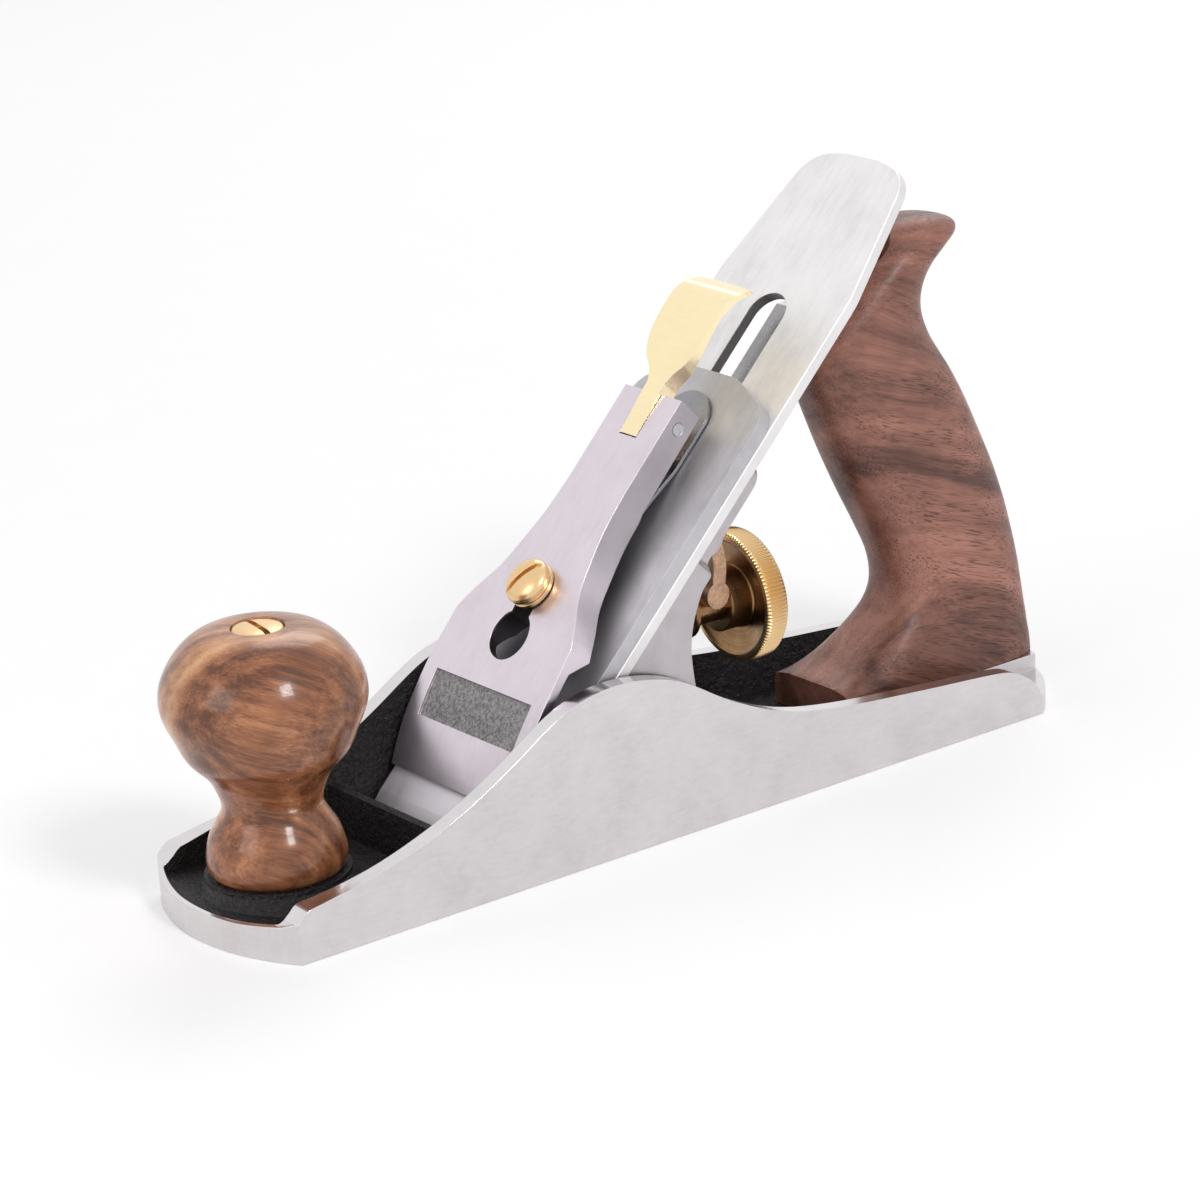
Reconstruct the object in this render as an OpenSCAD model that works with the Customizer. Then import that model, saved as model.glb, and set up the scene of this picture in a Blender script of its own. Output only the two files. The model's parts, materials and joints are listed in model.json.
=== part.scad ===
// Bench smoothing plane with a sliding frog, bevel-down iron and hardwood grips.
// Millimetres. +X points to the toe, +Y to the user's left, +Z up. The origin is on
// the sole, midway between the two ends of the straight sides.
// "Blade frame": x runs up the iron from its cutting edge, z is the height above
// the iron's upper face, so the bed lies at minus the iron's thickness.

/* [Body casting] */
// Length of the straight sides of the sole
side_len = 232.5; // [226:0.5:245]
// Width of the sole
body_w = 62; // [60:0.5:68]
// How far the toe bulges past the ends of the sides
toe_bulge = 9.4; // [7:0.1:14]
// How far the heel bulges past the ends of the sides
heel_bulge = 15.5; // [9:0.1:16.5]
// Thickness of the side walls
wall_t = 4.6; // [3.5:0.1:5]
// Thickness of the floor between the walls
floor_t = 5.2; // [4:0.1:6]
// Height of the wall's hump beside the mouth
wall_peak_z = 44; // [40:0.5:48]
// Height of the rim at the middle of the toe
toe_rim_z = 8; // [7.4:0.1:9]
// Thickness of the rim round the toe
toe_rim_t = 1.4; // [1:0.1:3]
// Height of the cross rib in front of the mouth
rib_z = 17; // [13:0.5:20]
// Place of the cross rib's ridge along the plane
rib_x = 68; // [67:0.5:72]
// Height of the seat under the knob
knob_seat_z = 11.5; // [9:0.5:13]
// Height of the seat under the back of the tote
tote_pad_z = 9.5; // [8:0.1:11]
// Gap between the iron's edge and the front of the mouth
mouth_gap = 1.6; // [1.4:0.1:3]

/* [Frog] */
// Angle of the iron above the sole
pitch = 45; // [44:0.5:47]
// Angle of the seat that the frog slides on
ramp_angle = 8.2; // [6:0.1:9.5]
// Height of the front edge of the frog seat
ramp_z = 9.1; // [8.6:0.1:10]
// Length of the frog seat
ramp_len = 56; // [54:0.5:60]
// Thickness of the frog's bed plate
bed_t = 6; // [5:0.1:7.5]
// Thickness of the frog's side cheeks
cheek_t = 5; // [3.5:0.1:7]
// Gap between a cheek and the wall beside it
frog_side_gap = 1.4; // [0.6:0.1:3]
// Distance up the bed to the frog's top end
frog_top_s = 127; // [125:0.5:130]
// Thickness of the frog's base
frog_base_t = 6.5; // [5.8:0.1:8]
// Distance of the frog pins from the middle
pin_y = 15.5; // [14:0.1:16]
// Radius of a frog pin
pin_r = 3.2; // [2.6:0.1:3.6]
// How far the frog slides each way from the middle of its travel
frog_travel = 1; // [0.4:0.1:1]

/* [Cutting iron] */
// Gap between the iron's side and the wall beside it
iron_side_gap = 1; // [0.6:0.1:2]
// Thickness of the iron
iron_t = 3; // [2.2:0.1:3.4]
// Length of the iron
iron_len = 211; // [200:1:216]
// Distance up the iron to where its sides start to taper
iron_taper_s = 172.5; // [168:0.5:176]
// Width of the iron at its top corners
iron_top_w = 36.9; // [32:0.1:42]
// Grinding angle of the bevel
bevel_angle = 30; // [25:1:33]
// Width of the slot in the iron
slot_w = 13.2; // [13:0.1:14.4]
// Distance up the iron to the top end of its slot
slot_top_s = 169.1; // [162:0.5:175]
// Place of the slot's wide lower hole
slot_low_s = 61; // [57:0.5:62]
// Radius of the slot's wide lower hole
slot_low_r = 9.3; // [9:0.1:11]
// Rest height of the cutting edge above the sole
edge_lift = 0.2; // [0.15:0.05:0.5]

/* [Cap iron] */
// Thickness of the cap iron
cap_iron_t = 3.9; // [3:0.1:4]
// How far the cap iron's sides lie inside the iron's
cap_iron_inset = 0.2; // [0:0.1:1]
// Distance up the iron to the top of the cap iron
cap_iron_top_s = 142.6; // [140:0.5:148]
// Distance from the cutting edge to the cap iron's own edge
cap_iron_back = 1; // [0.6:0.1:2.5]
// Place of the screw that joins the cap iron to the iron
join_screw_s = 86; // [85:0.1:86.5]
// Radius of that screw's thread
join_screw_r = 4; // [3:0.1:4.4]
// Radius of that screw's head
join_head_r = 8.5; // [7.5:0.1:8.6]

/* [Lever cap] */
// Distance up the iron to the lever cap's lower lip
cap_lip_s = 19; // [17:0.5:21]
// Distance up the iron to the lever cap's top end
cap_end_s = 128.5; // [127.5:0.5:131]
// How far the lever cap's sides lie inside the iron's
cap_inset = 0.4; // [0.2:0.1:2]
// Width of the lever cap's upper bar
cap_bar_w = 22.4; // [20:0.2:26]
// Place of the lever cap screw
cap_screw_s = 71.4; // [70:0.1:72]
// How far the cap slides up to bring its big hole over the screw's head
keyhole_travel = 13.1; // [12.9:0.1:14]
// Radius of the lever cap screw's shank
cap_screw_r = 3; // [2.5:0.1:3.4]
// Radius of the lever cap screw's head
cap_head_r = 6.3; // [5.6:0.1:6.4]
// Depth of the sunken panel
panel_depth = 0.8; // [0.3:0.1:1.2]
// Thickness of the leaf spring
spring_t = 0.9; // [0.6:0.05:1]
// Width of the leaf spring
spring_w = 17; // [13:0.5:19]

/* [Cam lever] */
// Place of the cam lever's pin along the iron
cam_s = 122.4; // [121.5:0.1:123.5]
// Height of the cam lever's pin above the iron
cam_h = 13.1; // [12.9:0.1:13.4]
// Radius of the cam lever's pin
cam_pin_r = 1.6; // [1.2:0.1:2]
// Thickness of the cam lever's stem
cam_stem_w = 6.5; // [5:0.1:8]
// Width of the cam lever's paddle
paddle_w = 21.4; // [17:0.2:25]
// Length of the cam lever from its pin to its tip
paddle_len = 40; // [36:0.5:42]

/* [Depth adjuster] */
// Height of the depth wheel's axis above the sole
wheel_z = 44.5; // [44:0.1:45]
// Radius of the depth wheel
wheel_r = 17.1; // [15:0.1:18]
// Thickness of the depth wheel's rim
wheel_t = 6.7; // [5.5:0.1:8]
// Place of the depth wheel's front face
wheel_x = -38.1; // [-39:0.1:-38]
// Number of ridges round the wheel
knurls = 110; // [60:1:120]
// Radius of the wheel's stud
stud_r = 3.2; // [2.6:0.1:3.6]
// Radius of the groove that the yoke sits in
groove_r = 4.9; // [4.5:0.1:5]
// Place of the yoke's lugs in front of the wheel
lug_x = -28.8; // [-29.2:0.1:-28.6]
// Height of the yoke's lugs above the wheel's axis
lug_rise = 4.7; // [4:0.1:5.2]
// Radius of the yoke's lugs
lug_r = 3.5; // [3:0.1:3.6]
// Distance up the iron to the yoke's pivot
yoke_s = 106.3; // [105.5:0.1:106.6]
// Depth of the yoke's pivot under the iron's upper face
yoke_depth = 12.9; // [12.7:0.1:13.6]
// Radius of the yoke's pin
yoke_pin_r = 1.6; // [1.2:0.1:2]
// Distance up the iron to the yoke's finger
finger_s = 99.5; // [99:0.1:99.8]
// How far the yoke swings each way
yoke_swing = 3; // [1:0.5:3]

/* [Lateral lever] */
// Distance up the iron to the lateral lever's pivot
lateral_s = 122; // [121.5:0.1:122.8]
// Distance from that pivot to the roller
roller_reach = 9.5; // [8.6:0.1:9.6]
// Radius of the roller
roller_r = 5; // [4:0.1:5.1]
// Width of the lateral lever
lateral_w = 13; // [11:0.5:14]
// Distance up the iron to the lateral lever's thumb piece
lateral_end_s = 172; // [160:1:175]
// How far the lateral lever swings each way
lateral_swing = 7; // [3:0.5:7]

/* [Knob] */
// Place of the knob's axis along the plane
knob_x = 101.5; // [100:0.5:103]
// Height of the knob's top above the sole
knob_top_z = 72.5; // [66:0.5:78]
// Radius of the knob's ball
knob_r = 24.9; // [22:0.1:26]
// Radius of the knob's waist
knob_waist_r = 12.2; // [10.5:0.1:14]
// Radius of the knob's foot
knob_foot_r = 17; // [15:0.1:18]

/* [Tote] */
// Thickness of the grip
tote_w = 24; // [21:0.5:27]
// Width of the foot of the tote
tote_foot_w = 30; // [26:0.5:32]
// Place of the foot's front face
tote_front_x = -64; // [-66:0.5:-60]
// Height of the tote's underside above the sole
tote_seat_z = 5.6; // [5.3:0.1:6.2]
// Place where the tote's bolt enters the body
tote_bolt_x = -114; // [-115:0.5:-112]
// How far the tote's bolt leans forward on its way up
tote_bolt_lean = 11.4; // [10:0.1:12.4]

/* [Fasteners] */
// Radius of the bolts through the knob and the tote
bolt_r = 2.9; // [2.4:0.1:3.1]
// Radius of the brass nuts on those bolts
nut_r = 6.35; // [5:0.05:7]
// Width of the screwdriver slots
driver_slot = 1.4; // [0.8:0.1:1.8]

/* [Clearances] */
// Radial clearance of threads and pins in their holes
thread_gap = 0.04; // [0.03:0.01:0.08]
// Radial clearance of a bolt in a wooden grip
wood_gap = 0.4; // [0.2:0.1:0.6]
// Gap between flat faces that slide or rest on each other
rest_gap = 0.1; // [0.05:0.05:0.15]
// Gap between the iron and the frog's bed
bed_gap = 0.1; // [0.05:0.05:0.15]
// Play round a moving part that must never touch
free_gap = 0.4; // [0.3:0.05:0.5]

/* [Hidden] */
$fn = 96;
far = 300;

// Where the iron's upper face would meet the sole
edge_x = 60.3;
side_x = side_len / 2;
inner_y = body_w / 2 - wall_t;
toe_r = (body_w * body_w / 4 + toe_bulge * toe_bulge) / (2 * toe_bulge);
heel_r = (body_w * body_w / 4 + heel_bulge * heel_bulge) / (2 * heel_bulge);
toe_cx = side_x + toe_bulge - toe_r;
heel_cx = heel_r - side_x - heel_bulge;
heel_x = -side_x - heel_bulge;
frog_w = 2 * (inner_y - frog_side_gap);
iron_w = 2 * (inner_y - iron_side_gap);
cap_iron_w = iron_w - 2 * cap_iron_inset;
cap_w = iron_w - 2 * cap_inset;
bed_h = -iron_t - bed_gap;
edge_s = edge_lift / sin(pitch);
cap_edge_s = edge_s + cap_iron_back;
// Clear space behind the iron in the mouth, which the frog's backward travel needs
mouth_clear = frog_travel * sin(pitch) + 0.3;
ramp_x = edge_x - (iron_t + mouth_clear) / sin(pitch) - ramp_z / tan(pitch);
screw_drop = 4.6;
tab_t = 2;
collar_t = 2;
pin_back = 30;
finger_t = 3.4;
blade_travel = yoke_swing * PI / 180 * 15.7;
panel_low_s = 32.2;
panel_top_s = 44.3;
panel_w = cap_w - 10.8;
well_top_z = wall_peak_z + 16;
big_hole_s = cap_screw_s - keyhole_travel;
stem_end = [-6.2, 3.7];
stem_swing_r = norm(stem_end) + 0.3;
spring_h = cap_iron_t + 0.3;
spring_high_h = 7;
cam_lobe_r = cam_h - spring_h - spring_t - rest_gap;
rivet_s = 84;
cap_screw_end_h = -9.6;
// Front end of the stud, just short of the lever cap screw
stud_front_x = -0.5;
roller_s = lateral_s - roller_reach;
strip_top_h = bed_h - 0.5;
strip_t = 1.7;
tote_step_x = -106;

// Points of the wall's top edge from toe to heel, as distance along and height
wall_line = [[113, 13], [107, 13.9], [90, 16.9], [72, 22.7], [56, 30.4], [40, 0.9 * wall_peak_z],
             [30, 0.98 * wall_peak_z], [20, wall_peak_z], [10, 0.97 * wall_peak_z],
             [0, 0.89 * wall_peak_z], [-14, 30.8], [-30, 23.8], [-48, 20], [-75, 17.2],
             [-100, 15], [-107, 13.4], [-112.4, 10.2], [-115.2, 7]];

// Sections of the tote from its underside up:
// height, back, front, half width over the grip's, squareness
tote_sections = [[5.6, -131, -48, 1, 6], [10, -131.4, -48, 1, 6], [13.2, -131.5, -52, 1, 5.5],
                 [14.6, -131.6, -62, 0.96, 5], [17, -131.7, -70, 0.86, 4.4], [20, -131.8, -76, 0.72, 4],
                 [24, -131.8, -82, 0.52, 3.6], [29, -131.7, -87.3, 0.34, 3.2], [35, -131.4, -89.4, 0.18, 2.9],
                 [43, -130.2, -88, 0.06, 2.7], [52, -128, -83.9, 0, 2.7], [62, -124.6, -78.8, 0, 2.7],
                 [73, -119.9, -73.7, 0, 2.7], [82, -115.8, -70, 0, 2.7], [90, -111.5, -67, 0, 2.7],
                 [96, -107.6, -65.4, 0, 2.7], [101, -104.4, -66.4, 0, 2.7], [107, -101.8, -70.2, 0, 2.7],
                 [112, -101.4, -74.6, 0, 2.6], [116.5, -102.8, -79, 0, 2.5], [120.5, -105.9, -83, 0, 2.4],
                 [124, -110.5, -86.8, -0.05, 2.4], [126.6, -114.6, -90, -0.2, 2.3],
                 [128.8, -114.8, -93, -0.45, 2.3],
                 [130.4, -111, -96, -0.8, 2.3], [131.3, -105, -99, -1.3, 2.3]];

// Curves

function xy(p) = [p[0], p[1]];
function unit(v) = v / norm(v);
function knot(p, i) = p[max(0, min(len(p) - 1, i))];
// Point between b and c on the smooth curve that also heeds their neighbours a and d
function between(a, b, c, d, t) =
    b + 0.5 * t * (c - a + t * (2 * a - 5 * b + 4 * c - d + t * (3 * (b - c) + d - a)));
// Smooth curve through every point of a list
function smooth_line(p, steps = 4) = [
    for (i = [0 : len(p) - 2], j = [0 : steps - 1])
        between(knot(p, i - 1), p[i], p[i + 1], knot(p, i + 2), j / steps),
    p[len(p) - 1]];
// Arc that rounds the corner at b, which lies between a and c
function corner(a, b, c, r, steps) = r <= 0 ? [b] : let (
        u = unit(a - b),
        v = unit(c - b),
        half = acos(u * v) / 2,
        centre = b + unit(u + v) * r / sin(half),
        e1 = unit(b + u * r / tan(half) - centre),
        e2 = unit(b + v * r / tan(half) - centre),
        turn = acos(e1 * e2))
    [for (k = [0 : steps])
        centre + r * (sin((1 - k / steps) * turn) * e1 + sin(k / steps * turn) * e2) / sin(turn)];
// Outline whose corners, given as [x, y, radius], are rounded
function rounded(p, steps = 5) = [
    for (i = [0 : len(p) - 1])
        each corner(xy(knot_round(p, i - 1)), xy(p[i]), xy(knot_round(p, i + 1)), p[i][2], steps)];
function knot_round(p, i) = p[(i + len(p)) % len(p)];
// Closed outline of a shape that is alike on both sides of the x axis
function both_sides(p) = concat(p, [for (i = [len(p) - 1 : -1 : 0]) if (abs(p[i][1]) > 0.001) [p[i][0],
    -p[i][1]]]);

// Frames and simple solids

// Children are placed in the blade frame
module on_blade() translate([edge_x, 0, 0]) rotate([0, -pitch, 180]) children();
// Children stand on the frog seat: x runs down the seat to the toe, z is square to it
module on_ramp() translate([ramp_x, 0, ramp_z]) rotate([0, ramp_angle, 0]) children();
function blade_point(s, h) = [edge_x - s * cos(pitch) + h * sin(pitch), s * sin(pitch) + h * cos(pitch)];
// Side outline given as length and height, made solid across the width
module side_shape(points, width) rotate([90, 0, 0]) linear_extrude(width, center = true) polygon(points);
// The same, between two distances from the middle, on both sides
module side_pair(points, near, outer)
    for (side = [-1, 1])
        translate([0, side * (near + outer) / 2, 0]) side_shape(points, outer - near);
// Plan outline made solid from one height up to another
module flat_shape(points, low, high) translate([0, 0, low]) linear_extrude(high - low) polygon(points);
// Rod along x
module rod_x(r, from, to) translate([from, 0, 0]) rotate([0, 90, 0]) cylinder(r = r, h = to - from);
// Rod along y, alike on both sides
module rod_y(r, length) rotate([90, 0, 0]) cylinder(r = r, h = length, center = true);
module block(from, to) translate(from) cube(to - from);
// Solid turned about z from [radius, height] points
module turned(points) rotate_extrude() polygon(points);
// Screwdriver slot that crosses the top of a head
module driver_cut(r, top, depth)
    translate([-r - 1, -driver_slot / 2, top - depth]) cube([2 * r + 2, driver_slot, depth + 5]);

// Body

module sole_plan(inset = 0) {
    intersection() {
        translate([-far / 2, inset - body_w / 2]) square([far, body_w - 2 * inset]);
        union() {
            translate([toe_cx, 0]) circle(toe_r - inset);
            translate([-far / 2, -body_w]) square([far / 2 + toe_cx, 2 * body_w]);
        }
        union() {
            translate([heel_cx, 0]) circle(heel_r - inset);
            translate([heel_cx, -body_w]) square([far, 2 * body_w]);
        }
    }
}
// Everything the casting may fill: its plan, cut to the side outline
module casting_envelope() {
    toe_x = side_x + toe_bulge;
    intersection() {
        linear_extrude(wall_peak_z + 5) sole_plan();
        side_shape(concat(
            [[-far / 2, 0], [far / 2, 0], [far / 2, toe_rim_z], [toe_x - 2, toe_rim_z],
             [side_x + 2.6, toe_rim_z + 1], [side_x + 0.6, toe_rim_z + 2], [side_x - 0.9, toe_rim_z + 3.2],
             [side_x - 2.2, toe_rim_z + 4.4]],
            smooth_line(wall_line, 5),
            [[0.3 - side_x, floor_t], [-far / 2, floor_t]]), far);
    }
}
module toe_gusset() {
    linear_extrude(25)
        polygon([[96, inner_y + 1], [side_x - 3.4, inner_y - 1.2], [side_x + 6, inner_y - 1],
            [side_x + 6, body_w / 2 + 1],
                 [96, body_w / 2 + 1]]);
}
module frog_seat() {
    rear_x = ramp_x - ramp_len * cos(ramp_angle);
    low_front_x = ramp_x + (ramp_z - 1) / tan(pitch);
    side_shape([[rear_x, 1], [low_front_x, 1], [ramp_x, ramp_z],
                [rear_x, ramp_z + ramp_len * sin(ramp_angle)]], body_w - 2);
}
// Shape of the pad under the back of the tote, seen from above
module tote_foot_plan() {
    intersection() {
        translate([heel_x - 1, -tote_foot_w / 2]) square([60, tote_foot_w]);
        sole_plan(0.3);
    }
}
module body() color("gainsboro") {
    mouth_y = iron_w / 2 + 0.5;
    difference() {
        union() {
            difference() {
                casting_envelope();
                intersection() {
                    side_shape([[-far / 2, floor_t], [98, floor_t], [side_x + 3, toe_rim_z - 0.4],
                                [far / 2, toe_rim_z - 0.3], [far / 2, far], [-far / 2, far]], 2 * inner_y);
                    linear_extrude(far) union() {
                        sole_plan(toe_rim_t);
                        translate([-far / 2, -body_w]) square([far / 2, 2 * body_w]);
                    }
                }
            }
            intersection() {
                casting_envelope();
                union() {
                    toe_gusset();
                    mirror([0, 1, 0]) toe_gusset();
                    side_shape([[rib_x - 3, 1], [rib_x + 2.6, 1], [rib_x + 0.8, rib_z - 0.7],
                        [rib_x - 0.5, rib_z],
                                [rib_x - 2, rib_z - 1]], body_w - 2);
                    frog_seat();
                }
            }
            translate([knob_x, 0, 1]) cylinder(r = knob_foot_r + 0.8, h = knob_seat_z - 1);
            translate([knob_x, 0, floor_t - 1])
                cylinder(r1 = knob_foot_r + 5, r2 = knob_foot_r + 0.6, h = knob_seat_z - floor_t + 0.2);
            intersection() {
                linear_extrude(tote_pad_z) tote_foot_plan();
                block([-far, -far, 1], [tote_step_x, far, far]);
            }
        }
        // Mouth, open to the front of the iron and sloped behind it
        side_shape([[edge_x - (iron_t + mouth_clear) / sin(pitch) + 2 / tan(pitch), -2],
                    [edge_x + mouth_gap, -2], [edge_x + mouth_gap, 2.2], [rib_x - 3.4, floor_t],
                    [rib_x - 3.4, well_top_z], [ramp_x - (well_top_z - ramp_z) / tan(pitch), well_top_z]],
                    2 * mouth_y);
        on_ramp() {
            // Slots for the frog pins
            for (side = [-1, 1])
                translate([-pin_back, side * pin_y, -9])
                    for (shift = [-1, 1]) {
                        translate([shift * (frog_travel + 0.2), 0, 0]) cylinder(r = pin_r + free_gap, h = 20);
                        translate([-frog_travel - 0.2, -pin_r - free_gap, 0])
                            cube([2 * frog_travel + 0.4, 2 * (pin_r + free_gap), 20]);
                    }
            // Threads of the clamp screws and of the frog's adjusting screw
            for (y = [-pin_y, 0, pin_y])
                translate([0, y, -screw_drop]) rod_x((y == 0 ? 2.7 : 3) + thread_gap, -ramp_len - 5,
                    -pin_back - 3);
        }
        translate([knob_x, 0, 2]) cylinder(r = bolt_r + thread_gap, h = 30);
        translate([tote_bolt_x, 0, 0]) rotate([0, tote_bolt_lean, 0])
            translate([0, 0, 2.2]) cylinder(r = bolt_r + thread_gap, h = 30);
    }
}

// Frog

// Side outline of a cheek: the bed line in front, the curved edge behind
function cheek_outline() =
    let (low = blade_point(8, bed_h), high = blade_point(96.6, bed_h),
         rear_x = ramp_x - (ramp_len + 2.2) * cos(ramp_angle))
    concat([low, high],
           smooth_line([[-12.5, wheel_z + 16.1], [-10.2, wheel_z + 12.1], [-8, wheel_z + 6.5],
                        [-6.9, wheel_z + 0.5], [-7.2, wheel_z - 6.5], [-8.6, wheel_z - 15.5],
                        [rear_x + 1, wheel_z - 24.5]], 3),
           [[rear_x, ramp_z + ramp_len * sin(ramp_angle)], [rear_x, 5]]);
module yoke_ear(side) {
    translate([yoke_s, side * 10.6, -yoke_depth]) rod_y(4.6, 3);
    translate([0, side * 10.6, 0])
        side_shape([[yoke_s - 4.6, -yoke_depth], [yoke_s + 4.6, -yoke_depth], [yoke_s + 6, bed_h - 1],
                    [yoke_s - 6, bed_h - 1]], 3);
}
module frog() color("silver") {
    half = frog_w / 2;
    narrow = half - 4;
    difference() {
        union() {
            on_blade() flat_shape(both_sides(rounded([[8, half, 0], [96.6, half, 2], [99, narrow, 2],
                                                      [frog_top_s, narrow, 6], [frog_top_s, 0, 0]])),
                                  bed_h - bed_t, bed_h);
            side_pair(cheek_outline(), half - cheek_t, half);
            on_ramp() block([-ramp_len - 3.8, 1 - half, 0], [0, half - 1, frog_base_t]);
            // Boss of the depth stud with a web down to the base
            translate([0, 0, wheel_z]) rod_x(7, -10, 14);
            side_shape([[-7, wheel_z - 25.5], [34, wheel_z - 31.5], [6, wheel_z + 2.5],
                [-7, wheel_z + 5.5]], 5);
            // Boss behind the lever cap screw
            on_blade() translate([cap_screw_s, 0, cap_screw_end_h - 1]) cylinder(r = 6.5, h = 5);
            on_blade() for (side = [-1, 1]) yoke_ear(side);
        }
        // Everything under the seat and in front of the bed
        on_ramp() block([-far, -far, -far], [far, far, rest_gap]);
        on_blade() block([-far, -far, bed_h], [far, far, far]);
        on_blade() {
            translate([cap_screw_s, 0, -20]) cylinder(r = cap_screw_r + thread_gap, h = 40);
            // Recess for the head of the cap iron screw
            block([join_screw_s - join_head_r - 1.3, -join_head_r - 0.8, bed_h - 4],
                  [join_screw_s + join_head_r + 1.3, join_head_r + 0.8, 5]);
            // Opening for the yoke's finger
            block([finger_s - 3.6, -3.7, bed_h - bed_t - 6], [yoke_s + 0.3, 3.7, 5]);
            // Recess for the lateral lever, wide enough for its swing
            block([roller_s - lateral_w / 2 - 0.6, -lateral_w / 2 - 2.6, strip_top_h - strip_t - 0.3],
                  [frog_top_s + 5, lateral_w / 2 + 2.6, 5]);
            translate([lateral_s, 0, -20]) cylinder(r = 2 + thread_gap, h = 30);
            translate([yoke_s, 0, -yoke_depth]) rod_y(yoke_pin_r + thread_gap, far);
        }
        translate([0, 0, wheel_z]) rod_x(stud_r + thread_gap, -far, stud_front_x + 0.3);
        on_ramp() {
            for (side = [-1, 1])
                translate([-pin_back, side * pin_y, -2]) cylinder(r = pin_r + thread_gap, h = far);
            translate([0, 0, 3.9]) rod_x(2 + thread_gap, -far, -ramp_len + 4);
        }
    }
}
module frog_pins() color("dimgray") {
    on_ramp() for (side = [-1, 1])
        translate([-pin_back, side * pin_y, -8])
            difference() {
                cylinder(r = pin_r, h = 8 + frog_base_t);
                // Dimple that the clamp screw's point bears on
                translate([-pin_r, 0, 8 - screw_drop]) rotate([0, 90, 0]) cylinder(r1 = 1.6, r2 = 0.3,
                    h = 1.3);
            }
}
// Screw along x with its head at the back, its point or end in front
module rear_screw(r, head_r, head_back, head_front, end, point) {
    difference() {
        union() {
            rod_x(r, head_front - 0.1, end);
            rod_x(head_r, head_back, head_front);
            if (point > 0) translate([end - 0.01, 0, 0]) rotate([0, 90, 0]) cylinder(r1 = r, r2 = 0.8,
                h = point);
        }
        translate([head_back - 1, -driver_slot / 2, -head_r - 1]) cube([2.4, driver_slot, 2 * head_r + 2]);
    }
}
module frog_clamp_screws() color("dimgray") {
    on_ramp() for (side = [-1, 1])
        translate([0, side * pin_y, -screw_drop])
            rear_screw(3, 4.6, -ramp_len - 4, -ramp_len - 0.6, -pin_back - pin_r - 4.4, 2.6);
}
module frog_adjust_screw() color("dimgray") {
    tab_back = -ramp_len - 3.8 - tab_t;
    on_ramp() translate([0, 0, -screw_drop]) {
        rear_screw(2.7, 5, tab_back - 0.4 - 3, tab_back - 0.3, -pin_back - 8, 0);
        rod_x(4.6, -ramp_len - 3.5, -ramp_len - frog_travel - 0.4);
    }
}
module adjust_tab() color("darkgray") {
    back = -ramp_len - 3.8 - tab_t;
    on_ramp() difference() {
        block([back, -5.5, -screw_drop - 4.5], [back + tab_t, 5.5, frog_base_t + 1]);
        block([back - 1, -3, -far], [0, 3, -screw_drop]);
        translate([0, 0, -screw_drop]) rod_x(3, back - 1, 0);
        translate([0, 0, 3.9]) rod_x(2 + thread_gap + 0.1, back - 1, 0);
    }
}
module tab_screw() color("dimgray") {
    back = -ramp_len - 3.8 - tab_t;
    on_ramp() translate([0, 0, 3.9]) rear_screw(2, 3.3, back - 2.4, back - 0.05, -ramp_len + 3.6, 0);
}

// Cutting iron and cap iron

module iron() color("lightgray") {
    half = iron_w / 2;
    on_blade() difference() {
        translate([0, 0, -iron_t]) linear_extrude(iron_t) difference() {
            polygon(both_sides(rounded([[edge_s, half, 0], [iron_taper_s, half, 12],
                                        [iron_len - 2.4, iron_top_w / 2, 10], [iron_len + 0.1, 6.5, 30],
                                        [iron_len + 0.1, 0, 0]])));
            translate([slot_low_s, 0]) circle(slot_low_r);
            translate([slot_top_s - slot_w / 2, 0]) circle(slot_w / 2);
            translate([slot_low_s, -slot_w / 2]) square([slot_top_s - slot_w / 2 - slot_low_s, slot_w]);
        }
        // Ground bevel on the underside
        translate([edge_s, -far / 2, 0]) rotate([0, bevel_angle, 0]) translate([-far / 2, 0, -far])
            cube([far, far, far]);
    }
}
module cap_iron() color("darkgray") {
    half = cap_iron_w / 2;
    on_blade() difference() {
        intersection() {
            side_shape([[cap_edge_s, 0.02], [cap_edge_s, 0.5], [cap_edge_s + 3, 2.2], [cap_edge_s + 7, 3.5],
                        [cap_edge_s + 11, cap_iron_t], [far, cap_iron_t], [far, 0.02],
                        [cap_edge_s + 24, 0.02],
                        [cap_edge_s + 8, 0.5], [cap_edge_s + 2.5, 0.02]], cap_iron_w);
            flat_shape(both_sides(rounded([[0, half, 0], [cap_iron_top_s - 6, half, 8],
                                           [cap_iron_top_s + 0.4, 9, 20], [cap_iron_top_s + 0.4, 0, 0]])),
                                           -1, 9);
        }
        translate([cap_screw_s, 0, -1]) cylinder(r = cap_head_r + 0.7, h = 9);
        translate([join_screw_s, 0, -1]) cylinder(r = join_screw_r + thread_gap, h = 9);
        block([finger_s - finger_t / 2 - free_gap, -3.7, -1], [finger_s + finger_t / 2 + free_gap, 3.7, 9]);
    }
}
module cap_iron_screw() color("dimgray") {
    on_blade() translate([join_screw_s, 0, 0]) difference() {
        union() {
            translate([0, 0, -iron_t - 2.9]) cylinder(r = join_head_r, h = 2.8);
            translate([0, 0, -iron_t - 0.2]) cylinder(r = join_screw_r, h = iron_t + cap_iron_t - 0.1);
        }
        translate([-far, -driver_slot / 2, -iron_t - 4]) cube([2 * far, driver_slot, 2.2]);
    }
}

// Lever cap

// Height of the lever cap's upper face, from its lip to its top end
cap_face = [[cap_lip_s, 5.5], [25, 8.2], [panel_low_s, 10.8], [panel_top_s, 13.4], [60, 15.3], [72, 16.2],
            [88, 16.6], [108, 16.8], [cap_end_s, 17]];
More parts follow.
